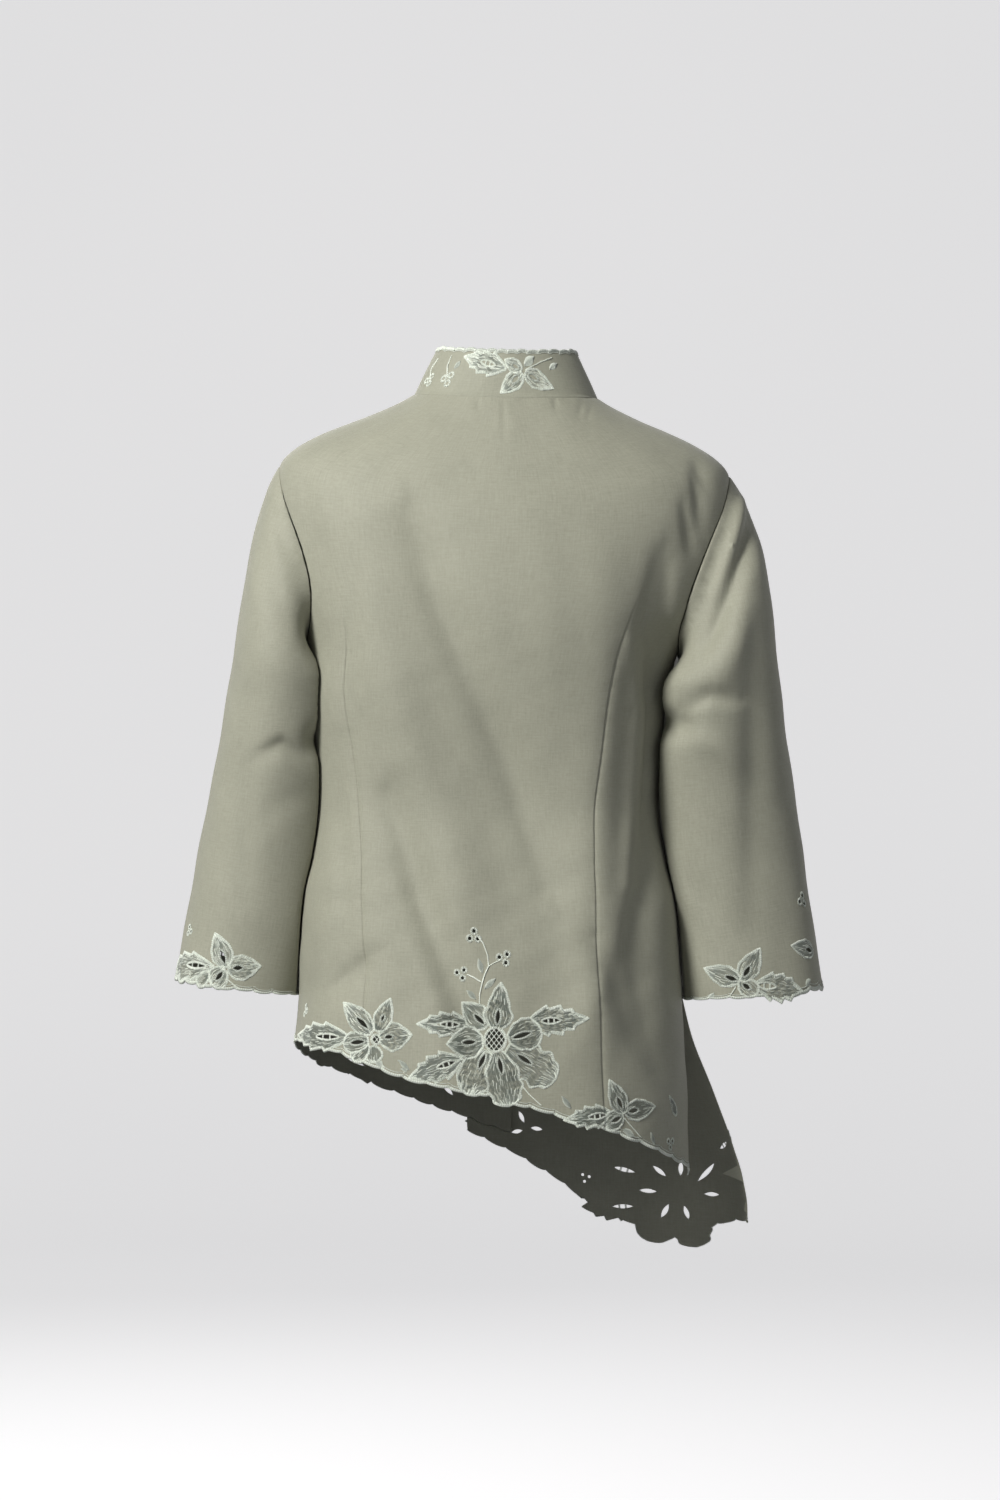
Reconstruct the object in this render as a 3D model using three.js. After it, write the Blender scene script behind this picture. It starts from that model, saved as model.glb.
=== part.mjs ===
// A woman's stand-collar jacket as it hangs when it is worn: one back with two long darts, a long
// right front lapped over a shorter left front, set-in three-quarter sleeves and a stand collar.
// The hem runs down from the wearer's left to the right, and the right side seam ends in a slit.
// Millimetres, +Z up, front towards -Y, wearer's left towards +X. The origin lies on the neck's
// axis, level with the seam at the nape, where the wearer's neck and shoulders hold the jacket.
import * as THREE from 'three';

const clothThickness = 1.2;
const collarThickness = 2;
// Pieces that are sewn together lie seamGap apart, and each panel ends edgeInset short of its seam.
const seamGap = 0.3;
const edgeInset = 0.3;
const sideSeamY = -4;
const degree = Math.PI / 180;

// Rings round the body. fall is how far a ring lies below the nape at the centre back, and sideZ
// and frontZ are its heights at the shoulder or side seam and at the centre front. shift moves a
// ring towards the wearer's left, as the waist sways.
const bodyRings = [
  { fall: 0, shift: 0, sideZ: 1, frontZ: -62, halfWidth: 80, backY: 50, frontY: -54, square: 2.1 },
  { fall: 14, shift: 0, sideZ: -8, frontZ: -73, halfWidth: 96, backY: 57, frontY: -62, square: 2.1 },
  { fall: 30, shift: 0, sideZ: -18, frontZ: -84, halfWidth: 118, backY: 65, frontY: -70, square: 2.1 },
  { fall: 46, shift: 0, sideZ: -27, frontZ: -95, halfWidth: 141, backY: 72, frontY: -77, square: 2.1 },
  { fall: 62, shift: 0, sideZ: -37, frontZ: -105, halfWidth: 164, backY: 79, frontY: -83, square: 2.1 },
  { fall: 78, shift: 0, sideZ: -50, frontZ: -116, halfWidth: 185, backY: 84, frontY: -89, square: 2.15 },
  { fall: 92, shift: 0, sideZ: -64, frontZ: -126, halfWidth: 196, backY: 89, frontY: -95, square: 2.15 },
  { fall: 112, shift: 0, sideZ: -96, frontZ: -140, halfWidth: 199, backY: 94, frontY: -102, square: 2.2 },
  { fall: 145, shift: 0, sideZ: -142, frontZ: -163, halfWidth: 192, backY: 99, frontY: -112, square: 2.2 },
  { fall: 180, shift: 2, sideZ: -180, frontZ: -191, halfWidth: 178, backY: 102, frontY: -121, square: 2.25 },
  { fall: 220, shift: 4, sideZ: -220, frontZ: -223, halfWidth: 159, backY: 101, frontY: -127, square: 2.3 },
  { fall: 262, shift: 5, sideZ: -262, frontZ: -262, halfWidth: 151, backY: 97, frontY: -128, square: 2.3 },
  { fall: 310, shift: 5, sideZ: -310, frontZ: -310, halfWidth: 148, backY: 91, frontY: -121, square: 2.3 },
  { fall: 358, shift: 5, sideZ: -358, frontZ: -358, halfWidth: 147, backY: 88, frontY: -112, square: 2.3 },
  { fall: 400, shift: 5, sideZ: -400, frontZ: -400, halfWidth: 154, backY: 93, frontY: -108, square: 2.3 },
  { fall: 440, shift: 4, sideZ: -440, frontZ: -440, halfWidth: 162, backY: 99, frontY: -110, square: 2.3 },
  { fall: 520, shift: 2, sideZ: -520, frontZ: -520, halfWidth: 167, backY: 110, frontY: -117, square: 2.3 },
  { fall: 600, shift: 1, sideZ: -600, frontZ: -600, halfWidth: 172, backY: 117, frontY: -121, square: 2.3 },
  { fall: 770, shift: 0, sideZ: -770, frontZ: -770, halfWidth: 177, backY: 121, frontY: -126, square: 2.3 },
];

// The armhole is an oval in the body's own angle and fall: from the shoulder tip to the underarm.
const armhole = { topFall: 92, bottomFall: 222, backAngle: 30, frontAngle: 35 };
const bust = { fall: 248, angle: 146, height: 12, reachAngle: 22, reachFall: 62 };
const lap = { width: 20, lift: 2.8, ramp: 24 };
const slit = { topFall: 500, flare: 54, forward: 0.35, reachAngle: 62 };

// The two back darts, sewn from the shoulder blades down to the hem, by angle and fall.
const darts = {
  depth: 1.6,
  topFall: 170,
  right: [
    { fall: 170, angle: -39 },
    { fall: 262, angle: -38 },
    { fall: 358, angle: -34.5 },
    { fall: 460, angle: -31.5 },
    { fall: 620, angle: -33 },
  ],
  left: [
    { fall: 170, angle: 46 },
    { fall: 262, angle: 48 },
    { fall: 358, angle: 45.5 },
    { fall: 460, angle: 39.5 },
    { fall: 620, angle: 36.5 },
  ],
};

// Hems: how far the edge lies below the nape at each angle round the body from the centre back.
const backHem = [
  { angle: -90, fall: 674 },
  { angle: -60, fall: 651 },
  { angle: -32, fall: 620 },
  { angle: 0, fall: 595 },
  { angle: 38, fall: 568 },
  { angle: 62, fall: 565 },
  { angle: 90, fall: 566 },
];
const leftFrontHem = [
  { angle: 90, fall: 566 },
  { angle: 130, fall: 590 },
  { angle: 195, fall: 650 },
];
const rightFrontHem = [
  { angle: 90, fall: 717 },
  { angle: 108, fall: 721 },
  { angle: 125, fall: 738 },
  { angle: 145, fall: 727 },
  { angle: 195, fall: 660 },
];
const scallop = 2.4;

// The largest folds: troughs pressed into the body, from one point to another by angle and fall.
const bodyFolds = [
  { angle: 24, fall: 150, toAngle: -20, toFall: 500, reach: 34, depth: 5 },
  { angle: -62, fall: 215, toAngle: -54, toFall: 400, reach: 24, depth: 6 },
  { angle: 46, fall: 490, toAngle: 80, toFall: 530, reach: 24, depth: 4 },
  { angle: 140, fall: 340, toAngle: 122, toFall: 520, reach: 28, depth: 5 },
  { angle: -150, fall: 330, toAngle: -118, toFall: 560, reach: 28, depth: 5 },
];

// Rings down each sleeve below its head: centre, half width across and half depth front to back.
// The half that lies against the body is fuller than an ellipse: under 1 makes it squarer.
const sleeveFullness = 0.66;
const sleeveRings = {
  right: [
    { z: -250, out: 190, y: 2, halfWidth: 54, halfDepth: 64 },
    { z: -300, out: 192, y: -6, halfWidth: 60, halfDepth: 61 },
    { z: -353, out: 196, y: -12, halfWidth: 66, halfDepth: 57 },
    { z: -400, out: 202, y: -14, halfWidth: 68, halfDepth: 54 },
    { z: -448, out: 212, y: -14, halfWidth: 66, halfDepth: 52 },
    { z: -515, out: 225, y: -12, halfWidth: 65, halfDepth: 50 },
  ],
  left: [
    { z: -250, out: 186, y: -4, halfWidth: 49, halfDepth: 68 },
    { z: -300, out: 189, y: -12, halfWidth: 53, halfDepth: 66 },
    { z: -353, out: 194, y: -20, halfWidth: 57, halfDepth: 62 },
    { z: -400, out: 201, y: -24, halfWidth: 59, halfDepth: 58 },
    { z: -448, out: 209, y: -26, halfWidth: 59, halfDepth: 55 },
    { z: -520, out: 222, y: -26, halfWidth: 58, halfDepth: 51 },
  ],
};
const bodyClearance = 3.2;
const headLift = { right: 0.62, left: 0.42 };
// Troughs of a sleeve: angle from its outer line by way of the back, and height.
const sleeveFolds = {
  right: [
    { angle: 172, z: -264, toAngle: 118, toZ: -280, reach: 16, depth: 13 },
    { angle: 66, z: -110, toAngle: 118, toZ: -225, reach: 16, depth: 6 },
  ],
  left: [
    { angle: 170, z: -318, toAngle: 128, toZ: -304, reach: 16, depth: 9 },
    { angle: 235, z: -310, toAngle: 200, toZ: -318, reach: 16, depth: 7 },
  ],
};

const collar = { height: 41, sideHeight: 37, frontHeight: 34 };
const collarTop = { halfWidth: 61, backY: 42, frontY: -45 };
const collarEnd = { angle: 177, roundAngle: 12, lowest: 0.55 };

// Mesh counts. Twice armholeRows is the sleeve's count around, so that their seams share corners.
const counts = { backSide: 7, backMiddle: 10, frontSide: 7, frontMiddle: 6, armholeRows: 10, skirtRows: 13 };
const sleeveCounts = { around: 2 * counts.armholeRows, head: 6, arm: 12 };
const collarCounts = { around: 40, rows: 3 };

const clamp01 = (value) => Math.min(1, Math.max(0, value));
const smooth = (value) => clamp01(value) ** 2 * (3 - 2 * clamp01(value));
const mix = (from, to, share) => from + (to - from) * share;

// One column of a table at a value of its key, by a smooth curve through the rows.
function curveThrough(rows, key, column, at) {
  const last = rows.length - 1;
  const up = rows[last][key] > rows[0][key] ? 1 : -1;
  let i = 0;
  while (i < last - 1 && up * at > up * rows[i + 1][key]) i++;
  const slope = (k) => {
    const low = Math.max(0, k - 1);
    const high = Math.min(last, k + 1);
    return (rows[high][column] - rows[low][column]) / (rows[high][key] - rows[low][key]);
  };
  const span = rows[i + 1][key] - rows[i][key];
  const s = clamp01((at - rows[i][key]) / span);
  const from = rows[i][column];
  const to = rows[i + 1][column];
  const bend = s * (1 - s) * span;
  return mix(from, to, s * s * (3 - 2 * s)) + bend * ((1 - s) * slope(i) - s * slope(i + 1));
}

// How much of a trough is felt at a point, 0 to 1, from plain distances in millimetres.
function troughShare(along, across, length, reach) {
  const past = Math.max(0, -along, along - length) / reach;
  const middle = 0.6 + 0.4 * Math.sin(Math.PI * clamp01(along / length));
  return middle * Math.exp(-((across / reach) ** 2) - past * past);
}

function foldDepth(folds, keys, position, scale) {
  let depth = 0;
  for (const fold of folds) {
    const across = (fold[keys.toAngle] - fold[keys.angle]) * scale;
    const down = fold[keys.toDown] - fold[keys.down];
    const length = Math.hypot(across, down);
    const round = ((position.angle - fold[keys.angle] + 540) % 360) - 180;
    const below = position.down - fold[keys.down];
    const along = (round * scale * across + below * down) / length;
    const aside = (round * scale * down - below * across) / length;
    depth += fold.depth * troughShare(along, aside, length, fold.reach);
  }
  return depth;
}

// All of the body's ring at a fall, as one object.
function ringAt(fall) {
  const ring = {};
  for (const column of Object.keys(bodyRings[0])) {
    ring[column] = curveThrough(bodyRings, 'fall', column, fall);
  }
  return ring;
}

// The body's form with no folds, at an angle from the centre back (positive to the wearer's left).
function bodyForm(angle, fall) {
  const ring = ringAt(fall);
  const sine = Math.sin(angle * degree);
  const cosine = Math.cos(angle * degree);
  const round = (Math.abs(sine) ** ring.square + Math.abs(cosine) ** ring.square) ** (-1 / ring.square);
  const depth = cosine >= 0 ? ring.backY - sideSeamY : sideSeamY - ring.frontY;
  const endZ = cosine >= 0 ? -fall : ring.frontZ;
  return new THREE.Vector3(
    ring.shift + ring.halfWidth * round * sine,
    sideSeamY + depth * round * cosine,
    mix(ring.sideZ, endZ, cosine * cosine)
  );
}

function bodyNormal(angle, fall) {
  const across = bodyForm(angle + 1, fall).sub(bodyForm(angle - 1, fall));
  const down = bodyForm(angle, fall + 3).sub(bodyForm(angle, Math.max(0, fall - 3)));
  return across.cross(down).normalize();
}

const bodyKeys = { angle: 'angle', toAngle: 'toAngle', down: 'fall', toDown: 'toFall' };
const sleeveKeys = { angle: 'angle', toAngle: 'toAngle', down: 'z', toDown: 'toZ' };

function bodyPoint(angle, fall) {
  const millimetresPerDegree = 2.4;
  const trough = foldDepth(bodyFolds, bodyKeys, { angle, down: fall }, millimetresPerDegree);
  const fromFront = Math.abs(180 - Math.abs(angle));
  const fromBust = (180 - fromFront - bust.angle) / bust.reachAngle;
  const bustShare = Math.exp(-(fromBust ** 2) - ((fall - bust.fall) / bust.reachFall) ** 2);
  return bodyForm(angle, fall).addScaledVector(bodyNormal(angle, fall), bust.height * bustShare - trough);
}

// The angle of a body panel's edge at the shoulder seam, the armhole and the side seam.
function edgeAngle(fall, notchAngle) {
  const middle = (armhole.topFall + armhole.bottomFall) / 2;
  const half = (armhole.bottomFall - armhole.topFall) / 2;
  const notch = Math.sqrt(Math.max(0, 1 - ((fall - middle) / half) ** 2));
  const backDepth = curveThrough(bodyRings, 'fall', 'backY', fall) - sideSeamY;
  return 90 - notchAngle * notch - edgeInset / (backDepth * degree);
}

// Where the armhole lies, turn degrees round it from the shoulder by way of the back.
function armholePlace(side, turn) {
  const middle = (armhole.topFall + armhole.bottomFall) / 2;
  const half = (armhole.bottomFall - armhole.topFall) / 2;
  const sine = Math.sin(turn * degree);
  const notch = sine >= 0 ? armhole.backAngle * sine : armhole.frontAngle * sine;
  return { angle: side * (90 - notch), fall: middle - half * Math.cos(turn * degree) };
}

// How far out the body reaches beside a point, so that a sleeve can rest just clear of it.
function bodyReach(side, y, z) {
  const ring = ringAt(Math.max(0, -z));
  const depth = y >= sideSeamY ? ring.backY - sideSeamY : sideSeamY - ring.frontY;
  const share = Math.min(1, Math.abs(y - sideSeamY) / depth);
  return side * ring.shift + ring.halfWidth * (1 - share ** ring.square) ** (1 / ring.square);
}

// A closed wall from rows of points: the given surface outside, and the same moved in by thickness.
function wallFrom(rows, thickness, closedRound) {
  const rowCount = rows.length;
  const columnCount = rows[0].length;
  const within = (k, count) => Math.min(count - 1, Math.max(0, k));
  const around = (j) => (closedRound ? (j + columnCount) % columnCount : within(j, columnCount));
  const along = (i) => within(i, rowCount);
  const vertices = [];
  const inner = [];
  rows.forEach((row, i) =>
    row.forEach((point, j) => {
      const across = rows[i][around(j + 1)].clone().sub(rows[i][around(j - 1)]);
      const down = rows[along(i + 1)][j].clone().sub(rows[along(i - 1)][j]);
      const normal = across.cross(down).normalize();
      vertices.push(point);
      inner.push(point.clone().addScaledVector(normal, -thickness));
    })
  );
  const all = vertices.concat(inner);
  const outside = (i, j) => i * columnCount + around(j);
  const inside = (i, j) => outside(i, j) + vertices.length;
  const triangles = [];
  const quad = (a, b, c, d) => triangles.push(a, c, b, a, d, c);
  const lastColumn = closedRound ? columnCount : columnCount - 1;
  for (let i = 0; i < rowCount - 1; i++) {
    for (let j = 0; j < lastColumn; j++) {
      quad(outside(i, j), outside(i + 1, j), outside(i + 1, j + 1), outside(i, j + 1));
      quad(inside(i, j), inside(i, j + 1), inside(i + 1, j + 1), inside(i + 1, j));
    }
    if (!closedRound) {
      quad(outside(i, 0), inside(i, 0), inside(i + 1, 0), outside(i + 1, 0));
      const end = columnCount - 1;
      quad(outside(i, end), outside(i + 1, end), inside(i + 1, end), inside(i, end));
    }
  }
  for (let j = 0; j < lastColumn; j++) {
    quad(outside(0, j), outside(0, j + 1), inside(0, j + 1), inside(0, j));
    const end = rowCount - 1;
    quad(outside(end, j), inside(end, j), inside(end, j + 1), outside(end, j + 1));
  }
  const geometry = new THREE.BufferGeometry();
  geometry.setAttribute('position', new THREE.Float32BufferAttribute(all.flatMap((p) => [p.x, p.y, p.z]), 3));
  geometry.setIndex(triangles);
  geometry.computeVertexNormals();
  return geometry;
}

// The falls of a body panel's rows above the underarm: shoulder rows, then rows beside the armhole.
function upperFalls() {
  const falls = [0.8, 14, 30, 46, 62, 78];
  const middle = (armhole.topFall + armhole.bottomFall) / 2;
  const half = (armhole.bottomFall - armhole.topFall) / 2;
  for (let i = 0; i <= counts.armholeRows; i++) {
    falls.push(middle - half * Math.cos((Math.PI * i) / counts.armholeRows));
  }
  return falls;
}

// Rows of a body panel. Its columns run between knots, lines down the panel given as functions of
// the fall; steps says how many columns lie between each knot and the next.
function panelRows(knots, steps, hemFall, move) {
  const columnAngle = (column, fall) => {
    let first = 0;
    for (let k = 0; k < steps.length; k++) {
      const share = (column - first) / steps[k];
      if (share <= 1) return mix(knots[k](fall), knots[k + 1](fall), share);
      first += steps[k];
    }
    return knots[steps.length](fall);
  };
  const columnCount = steps.reduce((sum, step) => sum + step, 0);
  const rows = [];
  const addRow = (fallOf) => {
    const row = [];
    for (let j = 0; j <= columnCount; j++) {
      const fall = fallOf(j);
      const angle = columnAngle(j, fall);
      row.push(move(bodyPoint(angle, fall), angle, fall, j));
    }
    rows.push(row);
  };
  for (const fall of upperFalls()) addRow(() => fall);
  for (let i = 1; i <= counts.skirtRows; i++) {
    const share = i / counts.skirtRows;
    const lobe = (j) => (i === counts.skirtRows && j % 2 === 1 ? scallop : 0);
    addRow((j) => mix(armhole.bottomFall, hemFall(columnAngle(j, 560)), share) + lobe(j));
  }
  return rows;
}

function backRows() {
  const hemFall = (angle) => curveThrough(backHem, 'angle', 'fall', angle);
  const right = (fall) => -edgeAngle(fall, armhole.backAngle);
  const left = (fall) => edgeAngle(fall, armhole.backAngle);
  const rightDart = (fall) => curveThrough(darts.right, 'fall', 'angle', fall);
  const leftDart = (fall) => curveThrough(darts.left, 'fall', 'angle', fall);
  const dartColumns = [counts.backSide, counts.backSide + counts.backMiddle];
  const move = (point, angle, fall, column) => {
    const sewn = dartColumns.includes(column) ? smooth((fall - darts.topFall) / 60) : 0;
    return point.addScaledVector(bodyNormal(angle, fall), -darts.depth * sewn);
  };
  const steps = [counts.backSide, counts.backMiddle, counts.backSide];
  return panelRows([right, rightDart, leftDart, left], steps, hemFall, move);
}

// A front, from its side seam past the centre front by the lap. side is 1 for the wearer's left.
function frontRows(side) {
  const hem = side > 0 ? leftFrontHem : rightFrontHem;
  const hemFall = (angle) => curveThrough(hem, 'angle', 'fall', Math.abs(angle));
  const sideEdge = (fall) => side * (180 - edgeAngle(fall, armhole.frontAngle));
  const underBust = () => side * 132;
  const halfWidthAt = (fall) => curveThrough(bodyRings, 'fall', 'halfWidth', fall);
  const lapEdge = (fall) => side * (180 + lap.width / degree / halfWidthAt(fall));
  const move = (point, angle, fall) => {
    if (side > 0) return point;
    const turn = Math.abs(angle);
    const fromFront = (180 - turn) * degree * halfWidthAt(fall);
    const lift = lap.lift * (1 - smooth((fromFront - lap.width - 4) / lap.ramp));
    const drop = smooth((fall - slit.topFall) / (rightFrontHem[0].fall - slit.topFall));
    const wing = slit.flare * drop * (1 - smooth((turn - 90) / slit.reachAngle));
    point.addScaledVector(bodyNormal(angle, fall), lift);
    point.x -= wing;
    point.y -= wing * slit.forward;
    return point;
  };
  const steps = [counts.frontSide, counts.frontMiddle];
  const rows = panelRows([sideEdge, underBust, lapEdge], steps, hemFall, move);
  return side > 0 ? rows : rows.map((row) => row.reverse());
}

function sleeveRing(side, z, turn) {
  const rings = sleeveRings[side > 0 ? 'left' : 'right'];
  const at = (column, height) => curveThrough(rings, 'z', column, height);
  const lean = Math.atan2(at('out', z - 10) - at('out', z + 10), 20);
  const cosine = Math.cos(turn * degree);
  const sine = Math.sin(turn * degree);
  const fullness = cosine < 0 ? sleeveFullness : 1;
  const across = at('halfWidth', z) * Math.sign(cosine) * Math.abs(cosine) ** fullness;
  const back = at('halfDepth', z) * Math.sign(sine) * Math.abs(sine) ** fullness;
  return new THREE.Vector3(
    side * (at('out', z) + across * Math.cos(lean)),
    at('y', z) + back,
    z + across * Math.sin(lean)
  );
}

// A point of the sleeve's head, from the armhole (share 0) to its first full ring (share 1).
function sleeveHead(side, turn, share) {
  const name = side > 0 ? 'left' : 'right';
  const firstZ = sleeveRings[name][0].z;
  const place = armholePlace(side, turn);
  const outOfBody = bodyNormal(place.angle, place.fall);
  const from = bodyPoint(place.angle, place.fall).addScaledVector(outOfBody, clothThickness + seamGap);
  const to = sleeveRing(side, firstZ, turn);
  const span = from.distanceTo(to);
  const upper = 0.5 + 0.5 * Math.cos(turn * degree);
  const outward = side * mix(0.8, headLift[name], upper);
  const leave = new THREE.Vector3(outward, 0.3 * Math.sin(turn * degree), -0.7);
  const arrive = sleeveRing(side, firstZ - 10, turn).sub(sleeveRing(side, firstZ, turn)).normalize();
  const s = share;
  const point = from.multiplyScalar((1 + 2 * s) * (1 - s) ** 2).addScaledVector(to, s * s * (3 - 2 * s));
  point.addScaledVector(leave, span * s * (1 - s) ** 2);
  return point.addScaledVector(arrive, -span * s * s * (1 - s));
}

// Moves a sleeve's point out from the body's side until it is clear, without a hard crease.
function keptClear(point, side, fromSeam) {
  const softness = 6;
  const past = side * point.x - bodyReach(side, point.y, point.z) - bodyClearance;
  const out = (past + Math.sqrt(past * past + softness * softness)) / 2 - past;
  point.x += side * out * fromSeam;
  return point;
}

function sleeveRows(side) {
  const name = side > 0 ? 'left' : 'right';
  const rings = sleeveRings[name];
  const firstZ = rings[0].z;
  const cuffZ = rings[rings.length - 1].z;
  const rows = [];
  const turnAt = (j) => (360 * j) / sleeveCounts.around;
  const addRow = (pointAt) => {
    const row = [];
    for (let j = 0; j < sleeveCounts.around; j++) row.push(pointAt(turnAt(j), j));
    rows.push(row);
  };
  for (let i = 0; i < sleeveCounts.head; i++) addRow((turn) => sleeveHead(side, turn, i / sleeveCounts.head));
  for (let i = 0; i <= sleeveCounts.arm; i++) {
    const lobe = (j) => (i === sleeveCounts.arm && j % 2 === 1 ? scallop : 0);
    addRow((turn, j) => sleeveRing(side, mix(firstZ, cuffZ, i / sleeveCounts.arm) - lobe(j), turn));
  }
  const millimetresPerDegree = 0.95;
  const shaped = rows.map((row, i) =>
    row.map((point, j) => {
      const across = row[(j + 1) % row.length].clone().sub(row[(j + row.length - 1) % row.length]);
      const down = rows[Math.min(rows.length - 1, i + 1)][j].clone().sub(rows[Math.max(0, i - 1)][j]);
      const normal = across.cross(down).normalize().multiplyScalar(-side);
      const fromSeam = smooth(i / 2.5);
      const position = { angle: turnAt(j), down: point.z };
      const trough = foldDepth(sleeveFolds[name], sleeveKeys, position, millimetresPerDegree);
      return keptClear(point.clone().addScaledVector(normal, -trough * fromSeam), side, fromSeam);
    })
  );
  return side > 0 ? shaped.map((row) => row.reverse()) : shaped;
}

// The collar stands on the neck seam, open at the centre front with rounded ends.
function collarRows() {
  const rows = [];
  for (let i = 0; i <= collarCounts.rows; i++) {
    const row = [];
    const share = 1 - i / collarCounts.rows;
    for (let j = 0; j <= collarCounts.around; j++) {
      const angle = mix(-collarEnd.angle, collarEnd.angle, j / collarCounts.around);
      const cosine = Math.cos(angle * degree);
      const fromEnd = clamp01((collarEnd.angle - Math.abs(angle)) / collarEnd.roundAngle);
      const corner = mix(collarEnd.lowest, 1, Math.sqrt(1 - (1 - fromEnd) ** 2));
      const endHeight = cosine >= 0 ? collar.height : collar.frontHeight;
      const lobe = j % 2 === 1 ? scallop / 2 : 0;
      const height = mix(collar.sideHeight, endHeight, cosine * cosine) * corner + lobe;
      const topY = cosine >= 0 ? collarTop.backY : collarTop.frontY;
      const point = bodyForm(angle, 0);
      point.x = mix(point.x, collarTop.halfWidth * Math.sin(angle * degree), share * corner);
      point.y = mix(point.y, sideSeamY + Math.abs(topY - sideSeamY) * cosine, share * corner);
      point.z += seamGap / 2 + height * share;
      row.push(point);
    }
    rows.push(row);
  }
  return rows;
}

const clothColor = 0xa6a590;
const cloth = new THREE.MeshStandardMaterial({ color: clothColor, roughness: 0.62, metalness: 0 });
const stiffened = new THREE.MeshStandardMaterial({ color: clothColor, roughness: 0.66, metalness: 0 });

function piece(name, rows, thickness, material, closedRound = false) {
  const mesh = new THREE.Mesh(wallFrom(rows, thickness, closedRound), material);
  mesh.name = name;
  return mesh;
}

const jacket = new THREE.Group();
jacket.name = 'jacket';
jacket.add(piece('back', backRows(), clothThickness, cloth));
jacket.add(piece('front_left', frontRows(1), clothThickness, cloth));
jacket.add(piece('front_right', frontRows(-1), clothThickness, cloth));
jacket.add(piece('sleeve_left', sleeveRows(1), clothThickness, cloth, true));
jacket.add(piece('sleeve_right', sleeveRows(-1), clothThickness, cloth, true));
jacket.add(piece('collar', collarRows(), collarThickness, stiffened));

export default jacket;
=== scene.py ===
# An embroidered stand-collar jacket, hanging as it is worn. Its panels are drawn flat as they are cut,
# meshed flat with their eyelets open, then laid on the body's form. Lengths are in millimetres until
# a mesh is made. Front is -Y, up is +Z, and +X is the wearer's left.
import math

import bpy
import numpy as np
from mathutils import Matrix, Vector
from mathutils.geometry import delaunay_2d_cdt
from mathutils.kdtree import KDTree


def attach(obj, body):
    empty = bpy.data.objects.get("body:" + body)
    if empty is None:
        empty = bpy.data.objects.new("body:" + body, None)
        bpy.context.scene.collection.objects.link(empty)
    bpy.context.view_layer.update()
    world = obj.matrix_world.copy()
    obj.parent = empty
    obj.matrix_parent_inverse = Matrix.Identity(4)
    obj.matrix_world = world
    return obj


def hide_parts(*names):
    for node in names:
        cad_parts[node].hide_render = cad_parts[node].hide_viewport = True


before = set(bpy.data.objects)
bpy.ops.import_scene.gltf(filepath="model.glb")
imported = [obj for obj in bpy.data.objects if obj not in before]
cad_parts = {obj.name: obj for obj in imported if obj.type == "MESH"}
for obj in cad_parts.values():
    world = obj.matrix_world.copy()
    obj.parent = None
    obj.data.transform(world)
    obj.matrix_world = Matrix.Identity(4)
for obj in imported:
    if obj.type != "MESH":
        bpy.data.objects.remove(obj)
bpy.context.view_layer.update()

scene = bpy.context.scene
degree = math.pi / 180


# the camera, a plain cove and soft light
studio = {
    "eye": (-0.0016, 3.190, -0.3073),
    "roll": 1.27,
    "lens": 87.69,
    "floorZ": -1.45,
    "floorRadius": 5.2,
    "coveRadius": 1.6,
    "wallTop": 6.5,
    "paperGlow": 0.72,
    "paperDark": (0.70, 0.70, 0.71, 1),
    "paperLight": (0.76, 0.755, 0.76, 1),
}


def newObject(name, data):
    made = bpy.data.objects.new(name, data)
    scene.collection.objects.link(made)
    return made


def setLevels(node, levels):
    for socket, level in levels.items():
        node.inputs[socket].default_value = level


def newMaterial(name, levels):
    # a material, its tree and its shader with the levels that are the same all over
    material = bpy.data.materials.new(name)
    material.use_nodes = True
    tree = material.node_tree
    shader = tree.nodes["Principled BSDF"]
    setLevels(shader, levels)
    return material, tree, shader


def addNode(tree, kind, levels=None, **settings):
    node = tree.nodes.new(kind)
    for name, value in settings.items():
        setattr(node, name, value)
    setLevels(node, levels or {})
    return node


def wire(tree, *rows):
    # each row: a node, its output, the node it feeds, that node's input
    for source, output, sink, given in rows:
        tree.links.new(source.outputs[output], sink.inputs[given])


def addCamera():
    data = bpy.data.cameras.new("camera")
    data.lens = studio["lens"]
    data.sensor_width = 36
    data.clip_end = 60
    camera = newObject("camera", data)
    roll = studio["roll"] * degree
    right = Vector((-math.cos(roll), 0, math.sin(roll)))
    up = Vector((math.sin(roll), 0, math.cos(roll)))
    turned = Matrix((right, up, Vector((0, 1, 0)))).transposed().to_4x4()
    camera.matrix_world = Matrix.Translation(studio["eye"]) @ turned
    scene.camera = camera


def addLight(name, place, aim, size, watts, colour):
    data = bpy.data.lights.new(name, "AREA")
    data.shape = "DISK"
    data.size = size
    data.energy = watts
    data.color = colour
    lamp = newObject(name, data)
    lamp.location = place
    lamp.rotation_euler = (Vector(aim) - Vector(place)).to_track_quat("-Z", "Y").to_euler()


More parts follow.
